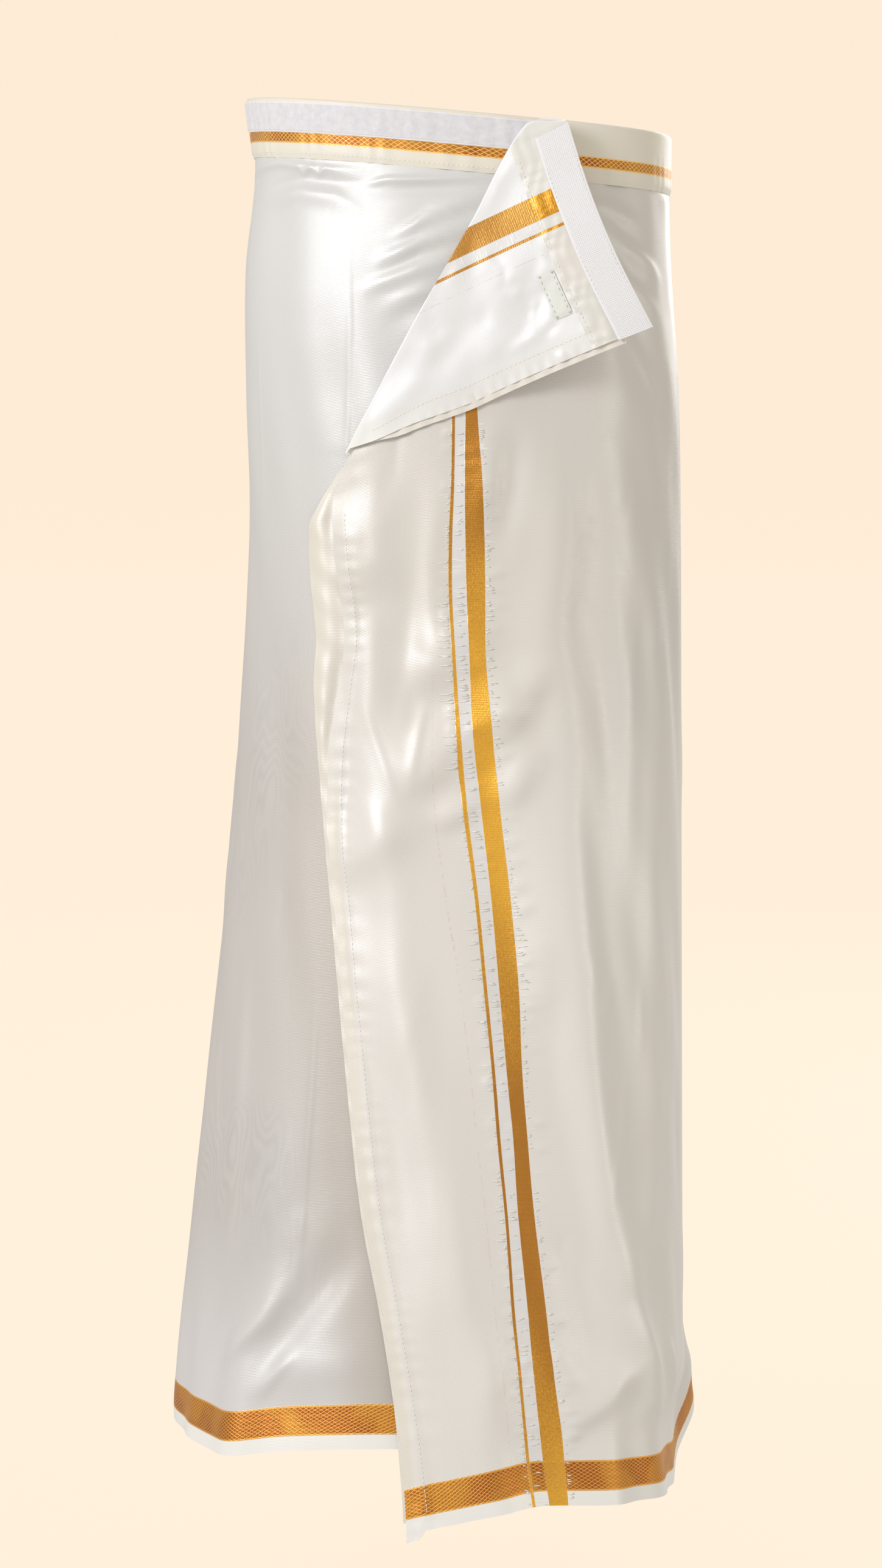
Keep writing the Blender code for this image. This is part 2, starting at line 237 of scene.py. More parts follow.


# %% Creases listed one by one: depth, half-width and lean, then the path (all in millimetres)
PLACED = {
    "under": [
        (1.9, 2.8, 0.3, (-148, -46), (-127, -36), (-96, -42), (-58, -46)),
        (0.9, 1.5, 0.2, (-122, -45), (-113, -40), (-110, -46), (-104, -41), (-99, -47), (-94, -42), (-80, -47)),
        (-1.2, 4.0, 0.2, (-140, -56), (-108, -50), (-74, -54), (-40, -58)),
        (1.9, 5.0, 0.3, (-140, -66), (-112, -58), (-88, -62), (-62, -76)),
        (1.6, 2.2, 0.2, (-80, -58), (-52, -51), (-21, -51), (30, -46)),
        (-0.9, 3.6, 0.0, (-66, -64), (-40, -59), (-8, -58), (30, -54)),
        (1.9, 3.4, 0.2, (-52, -94), (-34, -84), (-11, -70), (24, -56)),
        (-1.2, 4.0, 0.1, (-56, -104), (-30, -92), (-4, -78), (20, -66)),
        (2.2, 4.2, 0.1, (-66, -112), (-44, -102), (-19, -89), (14, -72)),
        (-1.2, 4.2, 0.1, (-64, -122), (-40, -110), (-12, -96), (8, -84)),
        (1.9, 4.4, 0.1, (-76, -132), (-54, -122), (-28, -112), (2, -98)),
        (0.9, 4.4, 0.0, (-62, -142), (-44, -136), (-28, -130), (-6, -117)),
        (-0.8, 5.0, 0.0, (-58, -152), (-40, -147), (-24, -138), (-12, -128)),
        (1.4, 24.0, 0.0, (-118, -92), (-108, -140), (-96, -210)),
        (0.9, 18.0, 0.0, (-56, -170), (-64, -220), (-60, -290)),
        (0.45, 1.5, 0.6, (-74, -50), (-76, -150), (-79, -250), (-84, -360)),
        (0.40, 1.6, 0.4, (-143, -130), (-142, -210), (-140, -300)),
        (-0.6, 12.0, 0.1, (-120, -300), (-118, -400), (-124, -520)),
        (0.9, 12.0, 0.1, (-108, -330), (-104, -480), (-110, -640)),
        (0.6, 1.8, 0.5, (-98, -560), (-104, -690), (-112, -800), (-121, -870)),
        (-3.4, 12.0, 0.2, (-56, -752), (-78, -806), (-112, -850), (-158, -912)),
        (3.0, 8.0, 0.3, (-112, -818), (-140, -858), (-176, -904)),
        (1.6, 5.0, 0.2, (-112, -872), (-132, -896), (-150, -918)),
        (1.3, 12.0, 0.0, (-156, -900), (-93, -888), (-36, -884)),
        (-1.2, 7.0, 0.0, (-92, -620), (-80, -760), (-66, -880)),
        (1.2, 6.0, 0.0, (-150, -560), (-158, -700), (-170, -830)),
    ],
    "over": [
        (3.2, 14.0, 0.0, (72, -196), (73, -270), (67, -340), (56, -420)),
        (-2.0, 8.0, 0.1, (42, -200), (35, -257), (22, -330)),
        (1.6, 7.0, 0.0, (27, -215), (14, -290)),
        (0.9, 19.0, 0.0, (76, -190), (82, -330), (90, -460), (96, -560)),
        (2.8, 15.0, 0.3, (60, -430), (82, -560), (112, -720)),
        (1.5, 9.0, 0.2, (14, -388), (30, -412), (46, -440)),
        (4.0, 11.0, -0.3, (22, -452), (40, -420), (60, -380)),
        (3.0, 8.5, -0.2, (26, -498), (44, -468), (60, -440)),
        (3.8, 13.0, -0.15, (-44, -414), (-16, -388), (10, -352)),
        (5.2, 15.0, -0.2, (-56, -490), (-20, -460), (12, -418)),
        (4.6, 17.0, -0.2, (-98, -548), (-56, -510), (-20, -480)),
        (2.8, 7.0, -0.2, (-18, -510), (-2, -492), (12, -474)),
        (0.7, 2.6, 0.3, (-22, -405), (-29, -440), (-36, -488)),
        (0.6, 2.4, 0.2, (-71, -405), (-54, -455), (-36, -505)),
        (1.6, 6.0, 0.2, (20, -226), (25, -262), (14, -306)),
        (1.9, 11.0, 0.1, (-84, -262), (-76, -305), (-74, -360)),
        (1.8, 9.0, 0.2, (36, -562), (52, -588), (55, -620), (50, -660)),
        (1.1, 11.0, 0.0, (52, -500), (74, -560), (96, -645), (104, -700)),
        (-0.8, 11.0, 0.0, (66, -560), (80, -640), (96, -740)),
        (1.3, 8.0, -0.2, (56, -720), (84, -801), (115, -867), (138, -912)),
        (-1.4, 8.0, 0.0, (78, -760), (104, -830), (132, -884)),
        (2.4, 7.0, 0.2, (118, -838), (132, -880), (142, -914)),
        (2.2, 12.0, -0.2, (112, -850), (132, -800), (142, -730)),
        (3.4, 13.0, -0.3, (60, -940), (92, -918), (126, -880)),
        (1.8, 9.0, 0.0, (58, -868), (78, -892), (92, -908)),
        (-2.0, 8.0, 0.0, (112, -896), (128, -926), (138, -950)),
        (2.0, 5.0, 0.0, (150, -872), (155, -900), (154, -930)),
        (1.4, 8.0, 0.1, (-16, -730), (-3, -808), (-12, -868)),
        (1.2, 6.0, 0.0, (20, -850), (22, -890), (21, -930)),
        (2.4, 5.5, 0.3, (80, -66), (112, -94), (146, -124)),
        (2.0, 5.0, 0.2, (92, -92), (118, -122), (144, -150)),
        (1.8, 4.5, 0.2, (76, -62), (104, -70), (134, -86)),
        (1.4, 4.0, 0.2, (104, -140), (128, -176), (146, -214)),
        (-1.2, 6.0, 0.0, (88, -108), (114, -144), (138, -178)),
        (-1.0, 7.0, 0.0, (-66, -560), (-48, -690), (-26, -860)),
        (1.2, 8.0, 0.0, (-50, -560), (-30, -690), (-8, -840)),
        (1.0, 7.0, 0.0, (-60, -330), (-62, -400), (-70, -460)),
        (-1.1, 7.0, 0.0, (-34, -300), (-36, -380), (-44, -440)),
        (1.0, 6.0, 0.0, (-16, -240), (-20, -320), (-22, -400)),
        (1.2, 10.0, 0.0, (112, -250), (118, -420), (124, -600)),
        (2.4, 15.0, 0.2, (-72, -262), (-64, -300), (-50, -350)),
        (1.8, 16.0, 0.2, (-60, -560), (-40, -640), (-22, -700)),
        (1.6, 14.0, -0.2, (-40, -740), (-22, -820), (-14, -900)),
        (-1.0, 9.0, 0.0, (98, -300), (104, -430), (112, -560)),
        (1.1, 10.0, 0.0, (134, -420), (136, -600), (142, -780)),
    ],
    # Nobody sees the back in the picture. Its paths have an angle in degrees in place of x.
    "back": [
        (1.9, 6.5, 0.2, (100, -54), (124, -46), (150, -58)),
        (1.5, 5.0, 0.2, (112, -76), (140, -66), (176, -60)),
        (-1.4, 5.5, 0.0, (150, -92), (176, -78), (204, -70)),
        (1.7, 6.0, 0.3, (176, -104), (200, -88), (236, -64)),
        (1.4, 5.0, 0.0, (214, -60), (238, -48), (262, -54)),
        (1.2, 3.4, 0.4, (182, -60), (182, -240), (183, -420)),
        (1.6, 9.0, 0.2, (122, -160), (128, -330), (140, -520)),
        (-1.6, 8.0, 0.1, (138, -300), (142, -460), (140, -640)),
        (2.0, 9.0, 0.3, (160, -420), (166, -600), (158, -800)),
        (1.6, 8.0, 0.0, (202, -260), (198, -420), (206, -590)),
        (-1.8, 8.0, 0.2, (222, -380), (216, -560), (222, -740)),
        (1.9, 9.0, 0.2, (246, -300), (238, -520), (244, -760)),
        (2.2, 8.0, 0.3, (118, -780), (128, -850), (142, -910)),
        (1.8, 7.0, 0.2, (186, -800), (196, -860), (214, -912)),
        (2.0, 8.0, 0.2, (232, -790), (246, -850), (254, -908)),
        (1.4, 8.0, 0.0, (108, -906), (134, -898), (168, -906)),
        (1.4, 9.0, 0.0, (190, -900), (220, -894), (250, -902)),
    ],
}

# %% One crease, and all the creases of a layer
SEED = 41
CREASE_FADE = 0.42
CREASE_REACH = 4
DEEPER, WIDER = 1.45, 1.25
FAR_OFF = 9.0


def side_and_run(arc, height, path):
    """How far a place lies to the side of a path, and how far along it, from 0 to 1."""
    pieces = [(p, q, math.dist(p, q)) for p, q in zip(path, path[1:])]
    total = sum(length for _, _, length in pieces)
    side, run, done = np.full(arc.shape, FAR_OFF), 0.0 * arc, 0.0
    for (pa, ph), (qa, qh), length in pieces:
        da, dh = (qa - pa) / length, (qh - ph) / length
        ahead = (arc - pa) * da + (height - ph) * dh
        aside = (arc - pa) * dh - (height - ph) * da
        inside = np.clip(ahead, 0, length)
        gap = np.copysign(np.hypot(ahead - inside, aside), aside)
        nearer = np.abs(gap) < np.abs(side)
        side = np.where(nearer, gap, side)
        run = np.where(nearer, (done + inside) / total, run)
        done += length
    return side, run


def one_crease(arc, height, depth, half_width, lean, path):
    side, run = side_and_run(arc, height, path)
    wide = half_width * np.where(side > 0, 1 + lean, 1 - lean)
    return depth * off_ends(run, CREASE_FADE) * hump(side, wide)


def placed_creases(layer, face):
    """The listed creases of a layer, their paths as arc lengths and heights in metres."""
    def spot(x, height):
        angle = x if layer == "back" else float(angle_at(x / 1000, height, face))
        return math.radians(angle) * MEAN_RADIUS, height

    return [
        (depth * DEEPER / 1000, half_width * WIDER / 1000, lean, [spot(x, h / 1000) for x, h in path])
        for depth, half_width, lean, *path in PLACED[layer]
    ]


def scattered_creases(seed, count, first, last, top, bottom):
    """Small upright creases, wandering a little, over a range of angles and heights."""
    draw = np.random.default_rng(seed)
    found = []
    for _ in range(count):
        arc = math.radians(draw.uniform(first, last)) * MEAN_RADIUS
        height = draw.uniform(bottom, top)
        reach = draw.uniform(0.03, 0.15)
        lean = draw.normal(0.0, 0.16)
        depth = draw.choice([-1, 1]) * draw.uniform(0.0002, 0.0008)
        wide = draw.uniform(0.0035, 0.0095)
        bend = draw.normal(0.0, 0.004)
        path = [(arc, height + reach / 2), (arc + lean * reach / 2 + bend, height),
                (arc + lean * reach, height - reach / 2)]
        found.append((depth, wide, draw.uniform(-0.3, 0.3), path))
    return found


SWELLS = 14


def swells(seed, arc, height):
    """Slow unevenness, longer down the cloth than across it."""
    draw = np.random.default_rng(seed)
    total = 0.0 * arc
    for _ in range(SWELLS):
        across, down = draw.uniform(0.035, 0.120), draw.uniform(0.16, 0.60)
        turn, slope = draw.uniform(0, 2 * math.pi), draw.normal(0, 0.25)
        wave = (arc + slope * height) / across + height / down
        total = total + np.sin(2 * math.pi * wave + turn) * draw.uniform(0.00016, 0.00050)
    return total


class Creases:
    """All the small relief of one layer of cloth."""

    def __init__(self, layer, face, seed, scatter, calm=1.0):
        self.seed, self.calm = seed, calm
        self.rows = placed_creases(layer, face) + scattered_creases(seed, *scatter)
        print(layer, "has", len(self.rows), "creases")

    def lift(self, angle, height):
        arc = np.radians(angle) * MEAN_RADIUS
        total = swells(self.seed, arc, height) * self.calm
        for depth, wide, lean, path in self.rows:
            low = min(h for _, h in path) - CREASE_REACH * wide
            high = max(h for _, h in path) + CREASE_REACH * wide
            near = (height > low) & (height < high)
            total[near] += one_crease(arc[near], height[near], depth, wide, lean, path)
        return total


# %% [markdown]
# ## Edges of the stretches
#
# The cloth goes once and a half round the hips. The under panel starts at the viewer's left, the back panel
# follows, and the over panel crosses the front. Each stretch has its hem line, and the over panel has a free
# edge with the gold stripes at set distances from it. The tables give those lines as they hang.

# %% Hems, edges and stripes
LEFT_SEAM, RIGHT_CREASE, UNDER_END = -95.0, 88.0, 46.0
LOOP_TAPE_START, LOOP_TAPE_END = -84.0, 38.0
BAND_DEPTH, BAND_LIP = 0.042, 0.0025
LOOP_TAPE_WIDTH, HOOK_TAPE_WIDTH, TAPE_PROUD = 0.0215, 0.0245, 0.001
TOP_AT_CENTRE, TOP_SLOPE = -0.0035, -0.09
HEM_DEPTH, LOWEST_HEM, PLY_RISE = 0.072, -1.0, 0.008

UNDER_HEM = Table(
    ("angle", "height"),
    [(-95, -0.950), (-80, -0.954), (-50, -0.957), (-30, -0.949), (-10, -0.944), (46, -0.944)],
)
OVER_HEM = Table(
    ("angle", "height"),
    [(-8, -1.007), (2, -0.997), (14, -0.988), (24, -0.985), (50, -0.989), (70, -0.993), (88, -0.999)],
)
BACK_HEM = Table(
    ("angle", "height"),
    [(88, -0.997), (96, -0.984), (108, -0.959), (125, -0.963), (150, -0.972), (180, -0.966),
     (215, -0.970), (245, -0.958), (265, -0.950)],
)
# The turned edge down to the corner, then the free edge
OVER_EDGE = Table(
    ("height", "x"),
    [
        (0.000, 0.058), (-0.016, 0.046), (-0.067, 0.022), (-0.113, 0.000), (-0.151, -0.025),
        (-0.205, -0.055), (-0.248, -0.080), (-0.272, -0.089), (-0.309, -0.087), (-0.371, -0.081),
        (-0.406, -0.086), (-0.455, -0.093), (-0.503, -0.094), (-0.600, -0.086), (-0.689, -0.078),
        (-0.778, -0.068), (-0.847, -0.055), (-0.904, -0.046), (-0.940, -0.042), (-1.007, -0.038),
    ],
)
# Where the thin gold line and the two sides of the wide gold band hang
STRIPES = Table(
    ("height", "thin", "wide_start", "wide_end"),
    [
        (-0.200, -0.0046, 0.0040, 0.0112), (-0.262, -0.0052, 0.0031, 0.0150), (-0.300, -0.0068, 0.0036, 0.0166),
        (-0.341, -0.0069, 0.0048, 0.0172), (-0.385, -0.0043, 0.0066, 0.0176), (-0.436, -0.0013, 0.0087, 0.0220),
        (-0.492, 0.0036, 0.0150, 0.0279), (-0.556, 0.0118, 0.0223, 0.0356), (-0.620, 0.0180, 0.0280, 0.0415),
        (-0.680, 0.0238, 0.0333, 0.0440), (-0.727, 0.0275, 0.0380, 0.0478), (-0.780, 0.0327, 0.0412, 0.0525),
        (-0.845, 0.0372, 0.0478, 0.0602), (-0.886, 0.0414, 0.0515, 0.0647), (-0.931, 0.0457, 0.0562, 0.0706),
        (-0.962, 0.0486, 0.0595, 0.0732), (-0.990, 0.0520, 0.0634, 0.0752),
    ],
)
# Distances from the free edge, measured on the cloth
EDGE_STITCH, PINK_LINE, THIN_GOLD, WIDE_START, WIDE_END = 0.0120, 0.0750, 0.0895, 0.0985, 0.1155
# The same distance at the panel's left boundary: above the corner the edge there is a fold
EDGE_DISTANCE = Table(
    ("height", "distance"),
    [(0.0, 0.158), (-0.067, 0.128), (-0.113, 0.100), (-0.151, 0.074), (-0.205, 0.034), (-0.248, 0.008),
     (-0.272, 0.0), (-1.007, 0.0)],
)
OVER_PLY_SHOWS = Table(
    ("height", "beyond"),
    [(-0.243, 0.0000), (-0.262, 0.0035), (-0.281, 0.0110), (-0.2945, 0.0175), (-0.344, 0.0215),
     (-0.398, 0.0190), (-0.455, 0.0080), (-0.503, 0.0030), (-0.600, 0.0025), (-1.010, 0.0020)],
)
OVER_PLY_TOP, OVER_PLY_TUCK = -0.244, 0.024
SEWN_FLAT = -0.0002


def waist_top(angle):
    """The height of the waistband's top, which dips to the right."""
    return TOP_AT_CENTRE + TOP_SLOPE * ring_point(angle, 0.0 * angle)[..., 0]


def under_band(lift, angle, height):
    """The cloth is stitched flat under the waistband, so no crease stands through the band."""
    down = waist_top(angle) - height
    sewn = smooth_step(BAND_DEPTH + 0.006, BAND_DEPTH - 0.001, down)
    return between(lift, np.minimum(lift, SEWN_FLAT), sewn)


# %% [markdown]
# ## Layers
#
# The solids' walls are thicker than cloth, so the layers lie further apart than on the real garment. Each
# thin sheet here shows its face where the solid's outer face is.

# %% Faces of the layers, out from the body form
WALL, PLY_WALL, TAPE_WALL, SEAM, PLY_GAP = 0.0015, 0.0012, 0.0012, 0.0003, 0.0010
UNDER_FACE = WALL
BAND_FACE = 2 * WALL + SEAM
LOOP_TAPE_FACE = BAND_FACE + SEAM + TAPE_WALL
OVER_FACE = LOOP_TAPE_FACE + SEAM + WALL
OVER_PLY_FACE = WALL + PLY_GAP + PLY_WALL
FLAP_FACE = OVER_FACE + 2 * SEAM + 2 * WALL
CLOTH = 0.0005

# The scattered creases: how many, first and last angle, top and bottom
under_creases = Creases("under", UNDER_FACE, SEED, (26, -92, 0, -0.34, -0.93), calm=0.45)
over_creases = Creases("over", OVER_FACE, SEED + 1, (52, -26, 84, -0.16, -0.96))
back_creases = Creases("back", UNDER_FACE, SEED + 2, (80, 92, 262, -0.08, -0.94))

# %% [markdown]
# ## A sheet of cloth
#
# Each sheet starts as a flat grid made by bmesh, and every point of it is then laid on its place. A UV map
# keeps the cloth's own measure in metres: how far from the free edge, and how far above the hem. The weave
# and the gold follow that map, so they bend with the cloth. An attribute says how far the colour goes to cream
# where plies lie on each other, and, on the under panel, to painted shade beside the over panel's free edge.
# A Solidify modifier gives the sheet its real thinness on the inner side.

# %% Making a sheet
RIM_ANGLE = math.radians(50)


def as_mesh(name, shape):
    """A smooth mesh from a bmesh, which is freed."""
    mesh = bpy.data.meshes.new(name)
    shape.to_mesh(mesh)
    shape.free()
    mesh.shade_smooth()
    return mesh


def lay_sheet(name, place, columns, rows, wall=CLOTH):
    """A grid whose points go where place puts them; place gives spots, cloth measures and maybe how far the
    colour goes to cream or painted shade.
    """
    grid = bmesh.new()
    bmesh.ops.create_grid(grid, x_segments=columns, y_segments=rows, size=0.5)
    mesh = as_mesh(name, grid)
    flat = np.empty(len(mesh.vertices) * 3)
    mesh.vertices.foreach_get("co", flat)
    along, up, _ = np.clip(flat.reshape(-1, 3) + 0.5, 0, 1).T
    spots, cloth, *cream_and_painted_shade_share = place(along, up)
    mesh.vertices.foreach_set("co", np.ascontiguousarray(spots).ravel())
    corner_points = np.empty(len(mesh.loops), dtype=np.int32)
    mesh.loops.foreach_get("vertex_index", corner_points)
    cloth_map = mesh.uv_layers.new(name="cloth")
    cloth_map.data.foreach_set("uv", cloth[corner_points].astype(np.float32).ravel())
    cream_and_painted_shade = mesh.attributes.new("cream_and_painted_shade", "FLOAT", "POINT")
    cream_and_painted_shade.data.foreach_set("value", (cream_and_painted_shade_share[0] if cream_and_painted_shade_share else 0.0 * along).astype(np.float32))
    mesh.update()
    area = sum(face.area for face in mesh.polygons)
    piece = put_in_scene(name, mesh)
    thin = piece.modifiers.new("thin", "SOLIDIFY")
    thin.thickness, thin.offset, thin.use_even_offset = wall, -1.0, False
    shell = bpy.data.meshes.new_from_object(piece.evaluated_get(bpy.context.evaluated_depsgraph_get()))
    piece.modifiers.clear()
    piece.data = shell
    shell.name = name
    shell.set_sharp_from_angle(angle=RIM_ANGLE)
    print(f"{name}: {len(shell.polygons)} faces, {area:.4f} square metres of cloth")
    return piece


def measures(across, height):
    return np.stack([across, height], axis=-1)


def by_stops(along, stops, values):
    """A value for each stop, joined by straight lines, where the values are arrays themselves."""
    result = values[0] + 0.0 * along
    for start, end, low, high in zip(stops, stops[1:], values, values[1:]):
        result = result + (high - low) * np.clip((along - start) / (end - start), 0, 1)
    return result


HEM_PART, GATHER_DEPTH = 0.09, 0.130


def panel_height(hem, top, up, top_part=0.18):
    """Rows are closer near the hem, where the cloth flares, and below the waistband, where it is drawn in."""
    stops = (0.0, HEM_PART, 1 - top_part, 1.0)
    return by_stops(up, stops, (hem, hem + HEM_DEPTH, top - GATHER_DEPTH, top))


# %% [markdown]
# ## Under panel and back panel
#
# Two stretches of one cloth. The under panel runs on below the over panel, where few points are needed, so
# most of its columns are spent on the part that shows.

# %% Under panel
TOP_TUCK = 0.003
PLAIN_FROM = 0.30
CLOTH_RADIUS, BAND_RADIUS = 0.16, 0.15
UNDER_SHOWS_TO = -8.0
UNDER_STOPS = (0.0, 0.86, 1.0)
SEWN_PART = 0.02
EDGE_IS_FREE_BELOW = -0.24


def under_place(along, up):
    angle = by_stops(along, UNDER_STOPS, (LEFT_SEAM, UNDER_SHOWS_TO, UNDER_END))
    hem = UNDER_HEM.read("height", angle)
    height = panel_height(hem, waist_top(angle) - TOP_TUCK, up, top_part=0.34)
    edge = OVER_EDGE.read("x", height)
    # Beside the free edge the cloth on top holds the creases down
    room = edge - OVER_PLY_SHOWS.read("beyond", height) - ring_point(angle, height)[..., 0]
    held = np.where(height < EDGE_IS_FREE_BELOW, between(0.2, 1.0, smooth_step(0.004, 0.034, room)), 1.0)
    held = between(1.0, held, smooth_step(-0.20, -0.26, height))
    lift = under_creases.lift(angle, height) * held
    lift = lift * smooth_step(0.0, SEWN_PART, 1 - up) * smooth_step(0.0, 0.04, along)
    spots = on_body(angle, height, UNDER_FACE + under_band(lift, angle, height))
    # Painted shade: beside the over panel's free edge, and a little above the hem towards the right, the colour
    # goes to the shaded cream
    cream_and_painted_shade = 0.8 * smooth_step(0.055, 0.0, edge - spots[..., 0]) * smooth_step(-0.30, -0.55, height)
    cream_and_painted_shade += 0.12 * smooth_step(0.14, 0.05, height - hem) * smooth_step(-0.19, -0.10, spots[..., 0])
    across = PLAIN_FROM + np.radians(angle - LEFT_SEAM) * CLOTH_RADIUS
    return spots, measures(across, height - hem), np.clip(cream_and_painted_shade, 0, 1)


under_panel = lay_sheet("under_panel_cloth", under_place, 140, 340)

# %% Back panel


def back_place(along, up):
    angle = between(RIGHT_CREASE, 360 + LEFT_SEAM, along)
    hem = BACK_HEM.read("height", angle)
    height = panel_height(hem, waist_top(angle) - TOP_TUCK, up)
    lift = back_creases.lift(angle, height) * smooth_step(0.0, SEWN_PART, 1 - up) * off_ends(along, 0.03)
    spots = on_body(angle, height, UNDER_FACE + under_band(lift, angle, height))
    across = PLAIN_FROM + np.radians(angle - RIGHT_CREASE) * CLOTH_RADIUS
    return spots, measures(across, height - hem), smooth_step(0.75, 0.15, along)


back_panel = lay_sheet("back_panel_cloth", back_place, 160, 290)

# %% [markdown]
# ## Over panel
#
# Its columns follow the gold stripes, so that a stripe's edge is a row of mesh edges and stays crisp. Near
# its free edge it sinks to the cloth below, and at the right side it settles into the back panel. Small
# sideways puckers lie along the stripes, where the metal threads draw the weft in.

# %% Over panel
SETTLE_FROM, SETTLE_TO = 52.0, 82.0
FADE_FROM, FADE_TO = 70.0, 84.0
EDGE_SINK = 0.0020
OVER_STOPS = (0.0, 0.37, 0.41, 0.475, 1.0)
PUCKERS, SEAM_PUCKER, SEAM_PUCKER_RISE = 170, 0.0131, 0.00034
TONGUE_DROP, TONGUE_TO = 0.0062, 0.042
LOWER_PLY = 0.0075
HEM_STRIP_RISE, LOWER_PLY_FALL = 0.0007, 0.0008


def raised(angle):
    """1 where the panel crosses the waistband in front, 0 where it has come down at the right."""
    return smooth_step(SETTLE_TO, SETTLE_FROM, angle)


def folded(angle):
    """1 where the panel has its own folds and creases, 0 where it meets the back panel."""
    return smooth_step(FADE_TO, FADE_FROM, angle)


def over_lift(angle, height):
    return WALL + (OVER_FACE - WALL) * raised(angle) + fold_depth(angle, height, "over") * folded(angle)


def table_of_angles(x_of_height):
    """Angles of a line of the front at closely spaced heights, to read by interpolation."""
    heights = np.linspace(-1.03, 0.02, 700)
    return heights, angle_at(x_of_height(heights), heights, OVER_FACE)


def pushed_right(column, gap):
    """A stripe keeps a small gap from the boundary where the two would cross."""
    return lambda height: np.maximum(STRIPES.read(column, height), OVER_EDGE.read("x", height) + gap)


STRIPE_ANGLES = [
    table_of_angles(lambda height: OVER_EDGE.read("x", height)),
    table_of_angles(pushed_right("thin", 0.002)),
    table_of_angles(pushed_right("wide_start", 0.004)),
    table_of_angles(pushed_right("wide_end", 0.006)),
]


def over_angle(along, height):
    lines = [np.interp(height, heights, angles) for heights, angles in STRIPE_ANGLES]
    return by_stops(along, OVER_STOPS, lines + [RIGHT_CREASE])


def pucker_creases():
    draw = np.random.default_rng(SEED + 3)
    found = []
    for _ in range(PUCKERS):
        height = draw.uniform(-0.97, -0.22)
        column, away = [("thin", -0.010), ("thin", 0.001), ("wide_end", 0.001)][draw.integers(3)]
        angle = float(angle_at(STRIPES.read(column, height) + away, height, OVER_FACE))
        arc = math.radians(angle) * MEAN_RADIUS
        reach, drop = draw.uniform(0.007, 0.015), draw.normal(0, 0.0012)
        depth = draw.uniform(0.0004, 0.0010)
        path = [(arc, height), (arc + reach, height + drop)]
        found.append((depth, draw.uniform(0.0016, 0.0028), 0.0, path))
    return found


over_creases.rows += pucker_creases()


def over_relief(angle, height, at_edge):
    """The over panel's creases; at its free edge, where it lies on cloth, they only rise."""
    lift = over_creases.lift(angle, height)
    return between(lift, np.maximum(lift, -0.0003), at_edge)


def plies_close(height):
    """0 below the corner, where the second ply stands out, and 1 further down."""
    return smooth_step(-0.43, -0.50, height)


def over_spots(along, height, out=0.0):
    angle = over_angle(along, height)
    from_edge = along / OVER_STOPS[1] * THIN_GOLD
    sink = EDGE_SINK * smooth_step(0.22, 0.0, along) * smooth_step(-0.42, -0.52, height)
    hem_strip = smooth_step(EDGE_STITCH + 0.0035, EDGE_STITCH, from_edge) * smooth_step(-0.27, -0.30, height)
    lower_ply = smooth_step(LOWER_PLY + 0.0012, LOWER_PLY - 0.0006, from_edge) * plies_close(height)
    waver = 4.0 * np.sin(height * 37)
    pucker = np.sin(height * 2 * math.pi / SEAM_PUCKER + waver) * np.sin(height * 23)
    pucker = SEAM_PUCKER_RISE * pucker * hump(from_edge - EDGE_STITCH, 0.009)
    relief = under_band(over_relief(angle, height, smooth_step(0.16, 0.03, along)), angle, height)
    lift = over_lift(angle, height) - sink + out + relief * folded(angle) + pucker
    return on_body(angle, height, lift + HEM_STRIP_RISE * hem_strip - LOWER_PLY_FALL * lower_ply)


def over_place(along, up):
    hem = OVER_HEM.read("height", over_angle(along, LOWEST_HEM + 0.0 * along))
    tongue = TONGUE_DROP * smooth_step(TONGUE_TO, TONGUE_TO - 0.004, along)
    top = waist_top(over_angle(along, 0.0 * along)) - TOP_TUCK
    height = panel_height(hem - tongue, top, up)
    edge = EDGE_DISTANCE.read("distance", height)
    distances = [edge] + [np.maximum(stripe, edge + 0.001 * i)
                          for i, stripe in enumerate((THIN_GOLD, WIDE_START, WIDE_END), 1)]
    rest = np.radians(RIGHT_CREASE - np.interp(height, *STRIPE_ANGLES[3])) * CLOTH_RADIUS
    across = by_stops(along, OVER_STOPS, distances + [distances[-1] + rest])
    cream_and_painted_shade = 0.8 * smooth_step(LOWER_PLY + 0.0008, LOWER_PLY - 0.0008, across) * plies_close(height)
    return over_spots(along, height), measures(across, height - hem), cream_and_painted_shade


over_panel = lay_sheet("over_panel_cloth", over_place, 126, 386)

# %% [markdown]
# ## Second ply
#
# The cloth is double. Beside the free edge the lower ply stands out a little, most of all just below the
# turned corner.

# %% Second ply beside the free edge


